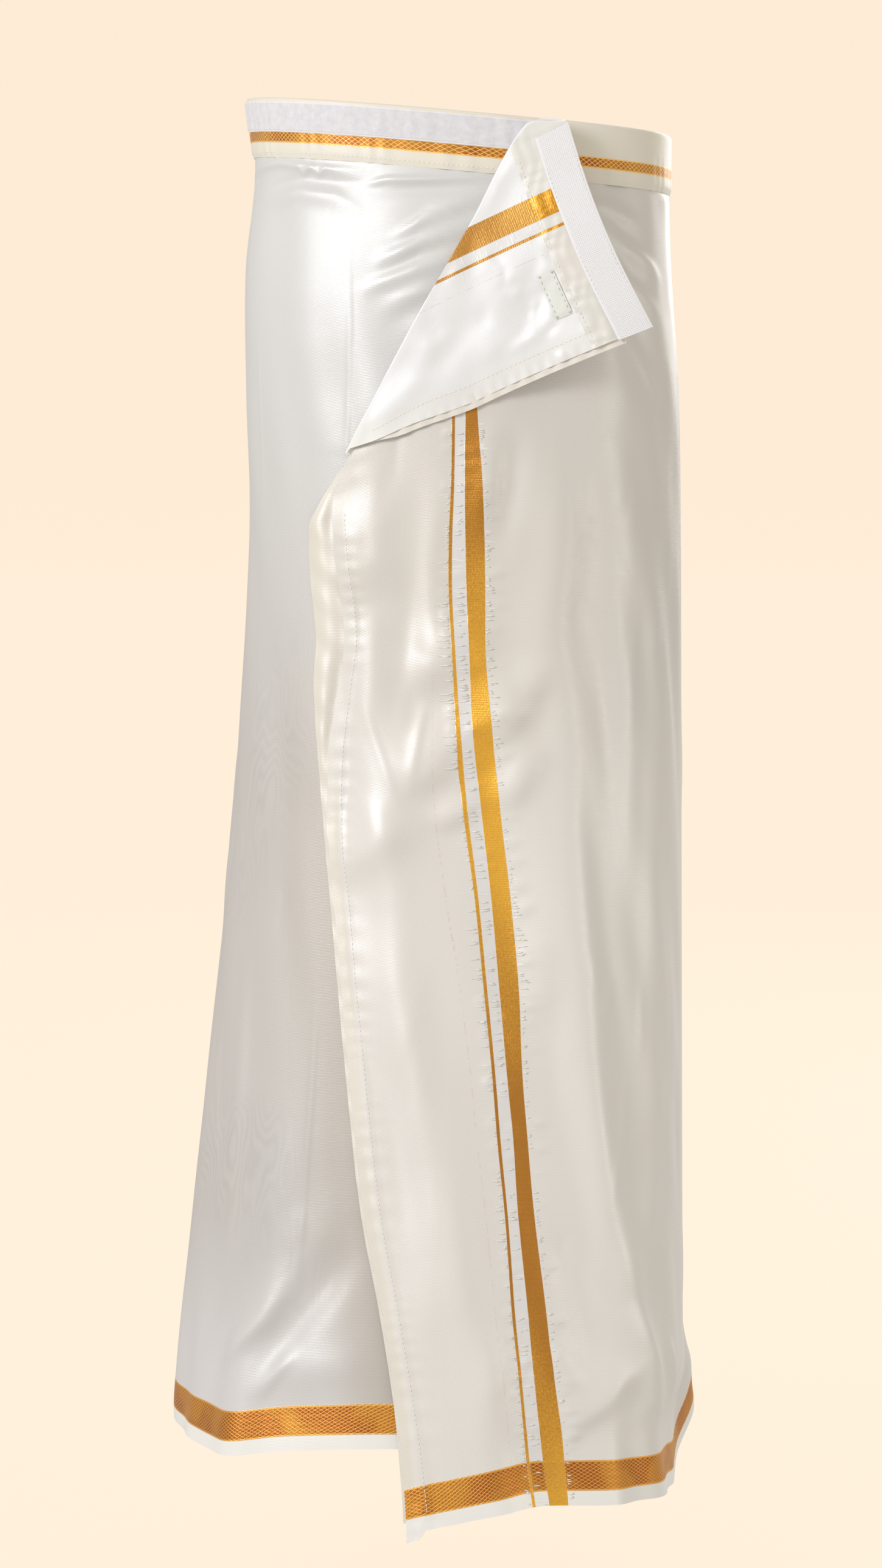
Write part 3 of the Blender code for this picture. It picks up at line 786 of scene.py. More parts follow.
def over_ply_place(along, up):
    edge_angle = over_angle(np.zeros(1), np.full(1, LOWEST_HEM))[0]
    hem = OVER_HEM.read("height", np.full(along.shape, edge_angle)) + PLY_RISE
    height = between(hem, OVER_PLY_TOP, up)
    edge, beyond = OVER_EDGE.read("x", height), OVER_PLY_SHOWS.read("beyond", height)
    x = edge - beyond + (OVER_PLY_TUCK + beyond) * along
    angle = angle_at(x, height, OVER_PLY_FACE)
    shows = beyond / (OVER_PLY_TUCK + beyond)
    open_part = smooth_step(shows + 0.15, shows, along)

    def pleat(rise, at, wide):
        return rise * hump(along - at * shows, wide * shows + 0.01) * smooth_step(0.004, 0.016, beyond)

    relief = 0.0005 * np.sin(height * 190 + 9 * along) * np.sin(height * 67 + 2)
    relief = relief + pleat(0.0016, 0.45, 0.30) + pleat(-0.0010, 0.95, 0.25)
    sunk = 0.0008 * (1 - open_part) + 0.0006 * smooth_step(0.12, 0.0, along) + 0.0003 * plies_close(height)
    lift = OVER_PLY_FACE - sunk + relief * open_part
    lift = lift + fold_depth(angle, height, "over") + over_relief(angle, height, 1.0)
    cream_and_painted_shade = 0.75 - 0.35 * smooth_step(0.55 * shows, shows, along)
    return on_body(angle, height, lift), measures(x - edge + beyond, height - hem), cream_and_painted_shade


over_ply = lay_sheet("second_ply_cloth", over_ply_place, 30, 330)

# %% [markdown]
# ## The turned-out corner
#
# The wearer holds the top corner and folds it out, so its wrong side shows. Its points are given in the
# corner's own plane, by metres along the waist edge and along the free edge. Past the turned edge the sheet
# goes on round a small roll and joins the over panel from inside, as one cloth does.

# %% The corner's own plane
FLAP_CORNER = np.array([0.1318, -0.1536])
ALONG_WAIST = np.array([-0.381, 0.925])
ALONG_FREE_EDGE = np.array([-0.900, -0.437])
FLAP_LENGTH, FLAP_WIDTH = 0.250, 0.154
FLAP_TANGENT_X, FLAP_REACH, FLAP_REACH_SPAN = 0.002, 0.012, 0.130
FREE_EDGE_BOW, WAIST_EDGE_BOW, WAIST_BOW_FADE = 0.0065, 0.0050, 0.100
FLAP_OUT = FLAP_FACE - WALL
TIP_AT = 0.229
LOWER_EDGE = Table(
    ("along_free_edge", "along_waist"),
    [(0.0, 0.0), (0.131, 0.0), (0.149, 0.0018), (0.179, 0.0065), (0.2066, 0.0092), (TIP_AT, 0.0138),
     (0.25, 0.018)],
)
TURNED_EDGE = Table(
    ("along_free_edge", "along_waist"),
    [(0.000, FLAP_WIDTH), (0.028, 0.162), (0.087, 0.118), (0.145, 0.075), (0.210, 0.026), (0.250, 0.002)],
)


def flap_spot(waist, free, out):
    """A place on the corner: metres along its waist edge and along its free edge, and out of its plane."""
    free_bow = np.sin(math.pi * np.minimum(1.0, free / FLAP_LENGTH)) * (1 - waist / FLAP_WIDTH)
    waist_bow = np.sin(math.pi * np.clip(waist / FLAP_WIDTH, 0, 1)) * (1 - smooth_step(0, WAIST_BOW_FADE, free))
    flat = (FLAP_CORNER + ALONG_WAIST * (waist + FREE_EDGE_BOW * free_bow)[..., None]
            + ALONG_FREE_EDGE * (free + WAIST_EDGE_BOW * waist_bow)[..., None])
    x, height = flat[..., 0], flat[..., 1]
    angle = angle_at(np.minimum(x, FLAP_TANGENT_X), height, FLAP_OUT)
    spot = on_body(angle, height, FLAP_OUT + fold_depth(angle, height, "over"))
    spot = np.stack([x, spot[..., 1], height], axis=-1)
    past = np.maximum(0.0, x - FLAP_TANGENT_X)
    forward = FLAP_REACH * smooth_step(0.0, FLAP_REACH_SPAN, past) + out
    return spot + outward(angle, height) * forward[..., None]


# %% Relief of the corner: creases by metres along the waist edge and the free edge
FLAP_CREASES = [
    (0.0007, 0.012, 0.2, [(0.150, 0.030), (0.138, 0.060), (0.118, 0.082)]),
    (-0.0008, 0.010, 0.0, [(0.140, 0.036), (0.122, 0.060), (0.104, 0.086)]),
    (0.0020, 0.014, 0.2, [(0.086, 0.046), (0.070, 0.078), (0.046, 0.108)]),
    (-0.0020, 0.010, 0.1, [(0.078, 0.052), (0.052, 0.060), (0.034, 0.084), (0.026, 0.104)]),
    (0.0018, 0.012, 0.2, [(0.048, 0.070), (0.032, 0.100), (0.022, 0.136)]),
    (-0.0015, 0.011, 0.0, [(0.064, 0.104), (0.044, 0.134), (0.026, 0.166)]),
    (0.0014, 0.009, 0.0, [(0.040, 0.146), (0.026, 0.180), (0.016, 0.212)]),
    (0.0012, 0.006, 0.0, [(0.076, 0.036), (0.064, 0.052), (0.050, 0.064)]),
    (0.0010, 0.005, 0.0, [(0.024, 0.062), (0.024, 0.084), (0.020, 0.104)]),
]


def corner_crinkles(seed, count, waists, frees, size):
    """Short creases in all directions; a larger size makes them longer and wider, so softer."""
    draw = np.random.default_rng(seed)
    found = []
    for _ in range(count):
        waist, free = draw.uniform(*waists), draw.uniform(*frees)
        turn, reach = draw.uniform(0, 2 * math.pi), draw.uniform(0.010, 0.026) * size
        end = (waist + reach * math.cos(turn), free + reach * math.sin(turn))
        depth = draw.choice([-1, 1]) * draw.uniform(0.0004, 0.0009)
        found.append((depth, draw.uniform(0.0026, 0.0045) * size, 0.0, [(waist, free), end]))
    return found


# Small where the facing and the label are sewn on, larger over the rest
FLAP_CREASES += corner_crinkles(SEED + 7, 26, (0.006, 0.100), (0.030, 0.084), 1.0)
FLAP_CREASES += corner_crinkles(SEED + 8, 12, (0.024, 0.090), (0.060, 0.150), 2.3)


def flap_relief(waist, free):
    waver = 1.4 * np.sin(free * 62)
    total = 0.0003 * np.sin(waist * 135 + free * 70 + waver) * np.sin(free * 96 - waist * 48 + 0.7)
    for crease in FLAP_CREASES:
        total = total + one_crease(waist, free, *crease)
    puckers = 0.00035 * np.sin(free * 2 * math.pi / 0.009) * smooth_step(0.010, 0.001, waist)
    return (total + puckers) * smooth_step(0.0, 0.012, free)


# %% The corner with its roll
ROLL_FROM = 0.90
ROLL_RADIUS = (FLAP_FACE - OVER_FACE + CLOTH) / 2
NEARBY = 0.0005


def flap_place(along, up):
    free = TIP_AT * up
    turned = TURNED_EDGE.read("along_waist", free)
    lower = np.minimum(LOWER_EDGE.read("along_waist", free), turned - 0.0004)
    waist = between(lower, turned, np.clip(along / ROLL_FROM, 0, 1))
    spots = flap_spot(waist, free, WALL + flap_relief(waist, free) * smooth_step(0.0, 0.01, turned - waist))
    # At the turned edge: on along it, away past it, and facing out of the corner
    plain = WALL + 0 * free
    edge = flap_spot(turned, free, plain)
    on = unit(flap_spot(TURNED_EDGE.read("along_waist", free + NEARBY), free + NEARBY, plain) - edge)
    away = edge - flap_spot(turned - NEARBY, free, plain)
    away = unit(away - on * np.sum(away * on, axis=-1, keepdims=True))
    facing = np.cross(away, on)
    facing *= -np.sign(facing[..., 1:2])
    turn = math.pi * np.clip((along - ROLL_FROM) / (1 - ROLL_FROM), 0, 1)
    roll = away * np.sin(turn)[..., None] + facing * (np.cos(turn) - 1)[..., None]
    # The roll's end meets the over panel's turned edge from inside
    target = over_spots(np.zeros_like(free), edge[..., 2], -CLOTH)
    closed = edge - facing * 2 * ROLL_RADIUS
    rolled = edge + ROLL_RADIUS * roll + (target - closed) * smooth_step(0.0, math.pi, turn)[..., None]
    spots = np.where((turn > 0)[..., None], rolled, spots)
    past, flat_away = (ROLL_RADIUS * turn)[..., None], away[..., [0, 2]]
    cloth = measures(waist, free) + past * measures(flat_away @ ALONG_WAIST, flat_away @ ALONG_FREE_EDGE)
    return spots, cloth, 0.25 * smooth_step(EDGE_STITCH + 0.004, EDGE_STITCH, waist - lower)


flap = lay_sheet("turned_corner_cloth", flap_place, 96, 120)

# %% Second ply along the corner's lower edge
FLAP_PLY_FROM, FLAP_PLY_TO, FLAP_PLY_SHOWS, FLAP_PLY_TUCK = 0.020, 0.214, 0.0045, 0.012
FLAP_PLY_SUNK, FLAP_PLY_WAVE, FLAP_PLY_PITCH = 0.0009, 0.0004, 0.013


def flap_ply_place(along, up):
    free = between(FLAP_PLY_FROM, FLAP_PLY_TO, up)
    lower = LOWER_EDGE.read("along_waist", free)
    shows = FLAP_PLY_SHOWS * smooth_step(FLAP_PLY_TO, FLAP_PLY_TO - 0.03, free)
    tuck = np.minimum(lower + FLAP_PLY_TUCK, TURNED_EDGE.read("along_waist", free) - 0.001)
    waist = between(lower - shows, tuck, along)
    out = WALL - FLAP_PLY_SUNK + FLAP_PLY_WAVE * np.sin(free * 2 * math.pi / FLAP_PLY_PITCH)
    return flap_spot(waist, free, out), measures(waist + FLAP_PLY_SHOWS, free + 0.05), 0.35 + 0 * free


flap_ply = lay_sheet("corner_second_ply", flap_ply_place, 8, 90)

# %% Turned-in waistband on the corner's wrong side
FACING_DEPTH = 0.043
FACING_FACE = WALL + 0.0009
CRUMPLE, FACING_ROUNDED = 0.00045, 0.0007


def facing_place(along, up):
    free = FACING_DEPTH * up
    waist = TURNED_EDGE.read("along_waist", free) * along
    crumple = np.sin(waist * 430 + free * 260 + 2 * np.sin(waist * 150)) * np.sin(free * 380 - waist * 210 + 1)
    crumple = CRUMPLE * crumple * smooth_step(0.022, 0.030, free)
    out = FACING_FACE + flap_relief(waist, free) + crumple - FACING_ROUNDED * smooth_step(0.9, 1.0, up)
    return flap_spot(waist, free, out), measures(waist, free)


facing = lay_sheet("corner_facing", facing_place, 90, 30)

# %% [markdown]
# ## Waistband
#
# The waist edge is folded over and stitched down, so the band is one strip that starts at its lower edge
# outside, rises, turns over the top and goes down inside. Outside it shows a narrow lip, then the closing
# tape, then the gold border of the waist edge and a plain strip above the stitching.

# %% Waistband strips
BAND_INSIDE = -0.0006
BAND_TURN = (BAND_FACE - BAND_INSIDE) / 2
INSIDE_DEPTH = 0.036
BAND_STOPS = (0.0, 0.5, 0.62, 1.0)
BAND_STITCH_DOWN, BAND_PULL, BAND_SOFT, BAND_WAVE = 0.0385, 0.0003, 0.0015, 0.00035
OVER_BAND_AT, BACK_BAND_AT = 0.42, 0.45


def band_profile(up, out):
    """Down from the top, and out from the form, along the strip from its lower outer edge."""
    turn = math.pi * np.clip((up - BAND_STOPS[1]) / (BAND_STOPS[2] - BAND_STOPS[1]), 0, 1)
    outside = by_stops(up, BAND_STOPS[:2], (BAND_DEPTH, BAND_TURN))
    inside = by_stops(up, BAND_STOPS[2:], (BAND_TURN, INSIDE_DEPTH))
    rising = up < BAND_STOPS[1]
    down = np.where(up > BAND_STOPS[2], inside, BAND_TURN * (1 - np.sin(turn)))
    down = np.where(rising, outside, down)
    soft = BAND_SOFT * smooth_step(0.004, 0.0, BAND_DEPTH - down)
    pull = BAND_PULL * hump(down - BAND_STITCH_DOWN, 0.0014)
    return down, out + BAND_TURN * (np.cos(turn) - 1) - (soft + pull) * rising


def band_spots(angle, up, lift=0.0):
    down, face = band_profile(up, BAND_FACE + lift)
    turn = np.radians(angle)
    wave = BAND_WAVE * np.sin(turn * 41 + 3 * np.sin(turn * 17)) * smooth_step(0.01, 0.03, down)
    return on_body(angle, waist_top(angle) - down, face + wave), down


def band_on(first, last, length_from):
    def place(along, up):
        angle = between(first, last, along)
        spots, down = band_spots(angle, up)
        return spots, measures(length_from + np.radians(angle - first) * BAND_RADIUS, down)
    return place


def band_over_place(along, up):
    angle = over_angle(along, 0.0 * along)
    spots, down = band_spots(angle, up, (OVER_FACE - WALL) * raised(angle))
    return spots, measures(OVER_BAND_AT - np.radians(angle) * BAND_RADIUS, down)


band_under = lay_sheet("waistband_under_cloth", band_on(LEFT_SEAM, UNDER_END, 0.0), 190, 46)
band_back = lay_sheet("waistband_back_cloth", band_on(RIGHT_CREASE, 360 + LEFT_SEAM, BACK_BAND_AT), 210, 46)
band_over = lay_sheet("waistband_over_cloth", band_over_place, 90, 46)

# %% Loop tape on the under panel's waistband
TAPE_THICKNESS, TAPE_ROUNDED = 0.0009, 0.0004


def loop_tape_place(along, up):
    angle = between(LOOP_TAPE_START, LOOP_TAPE_END, along)
    down = BAND_LIP + LOOP_TAPE_WIDTH * (1 - up)
    turn = np.radians(angle)
    wave = 0.0003 * np.sin(turn * 37 + 1) + 0.0002 * np.sin(turn * 90)
    face = LOOP_TAPE_FACE - TAPE_ROUNDED * (1 - off_ends(up, 0.05)) + wave
    spots = on_body(angle, waist_top(angle) - down, face)
    return spots, measures(np.radians(angle - LOOP_TAPE_START) * BAND_RADIUS, up * LOOP_TAPE_WIDTH)


loop_tape = lay_sheet("loop_tape_strip", loop_tape_place, 260, 22, wall=TAPE_THICKNESS)

# %% Hook tape on the corner
HOOK_FACE = 2 * WALL + PLY_WALL


def hook_tape_place(along, up):
    free = between(-TAPE_PROUD, HOOK_TAPE_WIDTH, up)
    waist = between(-TAPE_PROUD, FLAP_WIDTH - 2 * TAPE_PROUD, along)
    wave = 0.0003 * np.sin(waist * 95) - TAPE_ROUNDED * (1 - off_ends(up, 0.05))
    return flap_spot(waist, free, HOOK_FACE + wave), measures(waist + TAPE_PROUD, free + TAPE_PROUD)


hook_tape = lay_sheet("hook_tape_strip", hook_tape_place, 130, 24, wall=TAPE_THICKNESS)

# %% Blank label patch
LABEL_FROM, LABEL_TO = np.array([0.029, 0.0450]), np.array([0.063, 0.0580])
LABEL_FACE, LABEL_CURL, LABEL_THICKNESS = WALL + 0.0010, 0.0004, 0.0004


def label_place(along, up):
    waist, free = between(LABEL_FROM, LABEL_TO, measures(along, up)).T
    curl = LABEL_CURL * (1 - off_ends(along, 0.1))
    return flap_spot(waist, free, LABEL_FACE - curl + flap_relief(waist, free)), measures(waist, free)


label = lay_sheet("blank_label", label_place, 30, 12, wall=LABEL_THICKNESS)

# %% [markdown]
# ## Stitches
#
# Machine stitches hold the waistband down, run along the folded free edge and fix the hook tape and the label.
# Each is a small pointed bead of thread, laid along its line. A few faces are enough, because there are
# hundreds.

# %% Rows of stitches
STITCH = 0.0026
STITCH_GAP = 0.0034
THREAD = 0.00036
STITCH_PROUD = 0.0001


def bead(thread, middle, along, out, size):
    """A pointed bead: half its length along, half its width, and half its height out of the cloth."""
    along, out = Vector(along).normalized(), Vector(out).normalized()
    turn = Matrix((along, out.cross(along).normalized(), out)).transposed().to_4x4()
    bmesh.ops.create_icosphere(thread, subdivisions=1, radius=1.0,
                               matrix=Matrix.Translation(middle) @ turn @ Matrix.Diagonal((*size, 1)))


def thread_piece(name, thread):
    piece = put_in_scene(name, as_mesh(name, thread))
    print(f"{name}: {len(piece.data.polygons)} faces")
    return piece


def stitches(name, rows):
    """Beads of thread at even steps along lines of points, each turned along its line."""
    thread = bmesh.new()
    for spots, outs in rows:
        steps = np.linalg.norm(np.diff(spots, axis=0), axis=-1)
        lengths = np.concatenate([[0.0], np.cumsum(steps)])

        def read(rows_of_numbers, at):
            return Vector([np.interp(at, lengths, column) for column in rows_of_numbers.T])

        for at in np.linspace(0, lengths[-1], max(2, int(lengths[-1] / STITCH_GAP))):
            bead(thread, read(spots, at), read(spots, at + 0.001) - read(spots, at - 0.001), read(outs, at),
                 (STITCH / 2, THREAD, THREAD * 0.8))
    return thread_piece(name, thread)


def band_line(first, last, down, count=240):
    angle = np.linspace(first, last, count)
    at = np.full(count, BAND_STOPS[1] * (BAND_DEPTH - down) / (BAND_DEPTH - BAND_TURN))
    return band_spots(angle, at)[0], outward(angle, waist_top(angle))


band_stitches = stitches("waistband_stitches", [
    band_line(LEFT_SEAM + 1, UNDER_END - 1, BAND_STITCH_DOWN),
    band_line(RIGHT_CREASE + 1, 360 + LEFT_SEAM - 1, BAND_STITCH_DOWN),
])

# %% Stitches down the free edge
STITCHED_FROM, STITCHED_TO = -0.285, -0.985


def free_edge_line(count=300):
    height = np.linspace(STITCHED_FROM, STITCHED_TO, count)
    along = np.full(count, OVER_STOPS[1] * EDGE_STITCH / THIN_GOLD)
    return over_spots(along, height, STITCH_PROUD), outward(over_angle(along, height), height)


edge_stitches = stitches("free_edge_stitches", [free_edge_line()])
# %% [markdown]
# ## Loose weft beside the stripes
#
# The metal thread draws the silk weft in, so short white floats stand up beside and between the gold stripes,
# close together in some places and few in others. Each is one thin bead of thread lying across the cloth.

# %% Weft floats: side of the stripes, shortest, longest, top and bottom (in millimetres), and how many
FLOAT_RUNS = [
    ("left", 1.8, 4.4, -225, -985, 140),
    ("left", 5.0, 12.0, -345, -468, 30),
    ("left", 4.0, 9.0, -560, -664, 20),
    ("left", 4.0, 8.0, -740, -800, 9),
    ("between", 3.0, 7.0, -225, -330, 18),
    ("between", 5.0, 8.0, -330, -470, 44),
    ("between", 5.0, 8.0, -470, -680, 44),
    ("between", 3.0, 7.0, -680, -985, 36),
    ("right", 1.8, 4.8, -225, -985, 170),
    ("right", 4.0, 8.0, -300, -450, 20),
    ("right", 4.0, 9.0, -556, -622, 14),
]
FLOAT_WIDTH, FLOAT_HEIGHT, FLOAT_OUT = 0.00044, 0.0002, 0.0005


def weft_float_ends():
    """Start and end of every float, as x and height."""
    draw = np.random.default_rng(SEED + 5)
    ends = []
    for side, shortest, longest, top, bottom, count in FLOAT_RUNS:
        for _ in range(count):
            height = draw.uniform(bottom, top) / 1000
            reach = draw.uniform(shortest, longest) / 1000
            drop = draw.normal(0.0, 0.0007)
            thin = STRIPES.read("thin", height)
            if side == "left":
                start = thin - 0.0014 - reach
            elif side == "right":
                start = STRIPES.read("wide_end", height) + 0.0003
            else:
                gap = STRIPES.read("wide_start", height) - thin - 0.0018
                reach = min(reach, gap)
                start = thin + 0.0012 + draw.uniform(0, gap - reach)
            ends.append(((start, height), (start + reach, height + drop)))
    return np.array(ends)


def on_over_panel(x, height):
    angle = angle_at(x, height, OVER_FACE)
    lift = over_lift(angle, height) + over_creases.lift(angle, height) + FLOAT_OUT
    return on_body(angle, height, lift), outward(angle, height)


float_ends = weft_float_ends()
float_starts, float_outs = on_over_panel(*float_ends[:, 0].T)
float_stops, _ = on_over_panel(*float_ends[:, 1].T)
loose = bmesh.new()
for start, stop, out in zip(float_starts, float_stops, float_outs):
    half_length = np.linalg.norm(stop - start) / 2
    bead(loose, (start + stop) / 2, stop - start, out, (half_length, FLOAT_WIDTH, FLOAT_HEIGHT))
weft_floats = thread_piece("weft_floats", loose)

# %% Stitches on the corner: its lower edge, the facing, the tape and the label
FLAP_MIDDLE_HEIGHT = -0.15
TAPE_INSET, LABEL_INSET = 0.0015, 0.0015


def flap_row(waist, free, out):
    """Points on the corner, and the direction out of it."""
    level = 0 * waist + FLAP_MIDDLE_HEIGHT
    return flap_spot(waist, free, out), outward(angle_at(0 * waist, level, FLAP_OUT), level)


def flap_line(start, end, out, count=120, follows=1.0):
    waist, free = np.linspace(start, end, count).T
    return flap_row(waist, free, out + flap_relief(waist, free) * follows)


def lower_stitches(start, end, count=120):
    """The row along the corner's lower edge, one seam's width in from it."""
    free = np.linspace(start, end, count)
    seam = between(EDGE_STITCH, EDGE_STITCH * 0.6, smooth_step(0.15, 0.21, free))
    waist = LOWER_EDGE.read("along_waist", free) + seam
    return flap_row(waist, free, WALL + STITCH_PROUD + flap_relief(waist, free))


facing_row, tape_row = FACING_DEPTH - 0.003, HOOK_TAPE_WIDTH - TAPE_INSET
flap_stitches = stitches("corner_stitches", [
    lower_stitches(0.044, 0.205),
    flap_line((0.002, facing_row), (0.145, facing_row), FACING_FACE),
    flap_line((0.0, tape_row), (0.150, tape_row), HOOK_FACE, follows=0.0),
    flap_line((0.0, 0.0010), (0.150, 0.0010), HOOK_FACE, follows=0.0),
])
(low_x, low_y), (high_x, high_y) = LABEL_FROM + LABEL_INSET, LABEL_TO - LABEL_INSET
label_corners = [(low_x, low_y), (high_x, low_y), (high_x, high_y), (low_x, high_y)]
label_stitches = stitches("label_stitches", [
    flap_line(start, end, LABEL_FACE + STITCH_PROUD, 30)
    for start, end in zip(label_corners, label_corners[1:] + label_corners[:1])
])

# %% [markdown]
# ## Shader maths as expressions
#
# Blender's shaders are graphs of nodes. A small class wraps a socket, so that `1 - mask * 0.5` adds the Math
# nodes by itself, and one method adds any other node.

# %% Wires and finishes


class Wire:
    """A socket of one finish; sums and products on it add Math nodes."""

    def __init__(self, finish, socket):
        self.finish, self.socket = finish, socket

    def math(self, operation, *values):
        return self.finish.node("ShaderNodeMath", dict(enumerate(values)), {"operation": operation})

    def __add__(self, other): return self.math("ADD", self, other)
    def __sub__(self, other): return self.math("SUBTRACT", self, other)
    def __rsub__(self, other): return self.math("SUBTRACT", other, self)
    def __mul__(self, other): return self.math("MULTIPLY", self, other)
    def __truediv__(self, other): return self.math("DIVIDE", self, other)
    def __abs__(self): return self.math("ABSOLUTE", self)
    __radd__ = __add__

    def part(self): return self.math("FRACT", self)
    def sine(self): return self.math("SINE", self)
    def most(self, other): return self.math("MAXIMUM", self, other)

    def wave(self, length):
        """A wave between 0 and 1."""
        return (self * (2 * math.pi / length)).sine() * 0.5 + 0.5

    def ramp(self, start, end):
        """0 at start and 1 at end, with soft ends."""
        return self.finish.node(
            "ShaderNodeMapRange", {"Value": self, "From Min": start, "From Max": end},
            {"interpolation_type": "SMOOTHSTEP", "clamp": True})


class Finish:
    """One material being made: its nodes, and its Principled shader's sockets."""

    def __init__(self, name, **sockets):
        self.material = bpy.data.materials.new(name)
        self.material.use_nodes = True
        self.tree = self.material.node_tree
        self.shader = self.tree.nodes["Principled BSDF"]
        self.made(**sockets)

    def made(self, **sockets):
        """The material, once these sockets of its shader are fed."""
        for name, value in sockets.items():
            self.feed(self.shader.inputs[name.replace("_", " ").title().replace("Ior", "IOR")], value)
        return self.material

    def feed(self, socket, value):
        if isinstance(value, Wire):
            self.tree.links.new(value.socket, socket)
        elif isinstance(value, tuple) and len(value) == 3 and socket.type == "RGBA":
            socket.default_value = (*value, 1.0)
        else:
            socket.default_value = value

    def node(self, kind, inputs=None, settings=None, out=0):
        made = self.tree.nodes.new(kind)
        for name, value in (settings or {}).items():
            setattr(made, name, value)
        for name, value in (inputs or {}).items():
            self.feed(made.inputs[name], value)
        return Wire(self, made.outputs[out])

    def mix(self, share, low, high):
        """A colour between two, by a share from 0 to 1."""
        return self.node("ShaderNodeMix", {0: share, 6: low, 7: high}, {"data_type": "RGBA"}, 2)

    def noise(self, where, scale, detail=2.0, roughness=0.5):
        return self.node("ShaderNodeTexNoise", {"Vector": where, "Scale": scale, "Detail": detail,
                                                "Roughness": roughness})

    def fibres(self, both, x, y, detail=2.0):
        """Noise that is finer across the cloth or along it, by its two scales."""
        return self.noise(self.stretched(both, x, y), 1.0, detail)

    def cream_and_painted_shade_share(self):
        """How far the sheet's colour goes towards cream, where plies lie on each other, and towards a painted
        shade beside the over panel's free edge on the under panel.
        """
        return self.node("ShaderNodeAttribute", settings={"attribute_name": "cream_and_painted_shade"}, out=2)

    def place(self):
        """The piece's own coordinates, in metres."""
        return self.node("ShaderNodeTexCoord", out=3)

    def cloth(self):
        """The two cloth measures as separate wires, and both as one vector."""
        both = self.node("ShaderNodeUVMap", settings={"uv_map": "cloth"})
        apart = self.node("ShaderNodeSeparateXYZ", {0: both})
        return apart, Wire(self, apart.socket.node.outputs[1]), both

    def stretched(self, where, x, y, z=1.0):
        return self.node("ShaderNodeVectorMath", {0: where, 1: (x, y, z)}, {"operation": "MULTIPLY"})

    def bump(self, height, strength, distance):
        return self.node("ShaderNodeBump", {"Height": height, "Strength": strength, "Distance": distance})


def strip(value, start, end, soft=0.0002):
    """1 between two measures, 0 outside, with a soft edge."""
    return value.ramp(start - soft, start + soft) * (1 - value.ramp(end - soft, end + soft))


# %% [markdown]
# ## The silk
#
# Ivory art silk is a satin weave: smooth warp threads float on the face, so it shines in long soft streaks.
# The gold is woven in as flat metal-wrapped thread. The hem border is the traditional net of diamonds, made
# from two families of slanting lines. Fine weft lines and slubs sit in the bump, and a faint wood-grain
# shimmer in the colour and the roughness. Light is also painted into the colour: lighter towards the hem,
# lighter and cooler at the top of the under and back panels, a slow wave of light and shade along the wide
# gold band, and painted shade on the under panel beside the over panel's free edge.

# %% Colours of the silk and the gold
IVORY = (0.708, 0.672, 0.634)
IVORY_UNDER = (0.585, 0.556, 0.542)
# Painted light: a lighter, cooler ivory for the top of the under and back panels
PAINTED_LIGHT_IVORY_TOP = (0.700, 0.695, 0.695)
SHADED_CREAM = (0.515, 0.465, 0.410)
WARM_TINT, COOL_TINT, SHADE_TINT = (1.005, 0.992, 0.962), (0.955, 0.965, 0.990), (0.900, 0.895, 0.885)
WRONG_TINT, IVORY_WRONG = (0.80, 0.80, 0.90), (0.752, 0.744, 0.746)
# Painted light: tints that make the cloth lighter towards the hem
PAINTED_LIGHT_LOW_TINT, PAINTED_LIGHT_HEM_TINT = (1.16, 1.17, 1.19), (1.19, 1.21, 1.25)
CREAM = (0.800, 0.750, 0.655)
SELVEDGE = (0.92, 0.905, 0.875)
LILAC = (0.785, 0.760, 0.765)
MUSTARD = (0.54, 0.215, 0.010)
BRIGHT_GOLD = (1.0, 0.53, 0.045)
NET_GOLD = (0.94, 0.49, 0.095)
DIAMOND_ORANGE = (0.43, 0.100, 0.004)
THREAD_PINK = (0.72, 0.60, 0.56)

CREAM_BAND, WHITER_BAND = (0.835, 0.775, 0.665), (0.80, 0.765, 0.69)
WAIST_NET_GOLD = (1.0, 0.64, 0.18)
FLOAT_WHITE = (0.93, 0.92, 0.90)

# %% Measures of the weave, in metres
SELVEDGE_TO, LATTICE_TO = 0.0105, 0.0320
BAND_GOLD_FROM, BAND_GOLD_TO = 0.0237, 0.0315
HEM_DIAMOND, WAIST_DIAMOND = (0.0042, 0.0026), (0.0049, 0.0031)
THIN_HALF = 0.0011
WEFT, GOLD_RIB, GOLD_THREAD = 0.0011, 0.0016, 0.0009
# Painted light and shade: a slow wave along the wide gold band, lighter and darker
PAINTED_LIGHT_TURN_LENGTH, PAINTED_LIGHT_TURN_AT = 0.6, 0.525


def tinted(colour, tint):
    return tuple(c * t for c, t in zip(colour, tint))


def gold_stripes(across):
    """The thin gold line and the wide gold band."""
    thin = strip(across, THIN_GOLD - THIN_HALF, THIN_GOLD + THIN_HALF)
    return thin.most(strip(across, WIDE_START, WIDE_END))


def gold_net(finish, along, up, ends, diamond, line, gleam, gold):
    """The lines of the net on a strip of border, and the strip's colours."""
    start, end = ends
    rising = (along / diamond[0] + up / diamond[1]).part()
    falling = (along / diamond[0] - up / diamond[1]).part()
    net = abs(rising - 0.5).most(abs(falling - 0.5)).ramp(0.36, 0.46)
    outer = strip(up, start, start + line).most(strip(up, end - line, end))
    scale, gleam_from, share = gleam
    shine = finish.noise(finish.place(), scale, 2.0).ramp(gleam_from, 0.62) * share
    return net, finish.mix(net.most(outer), finish.mix(shine, DIAMOND_ORANGE, BRIGHT_GOLD), gold)


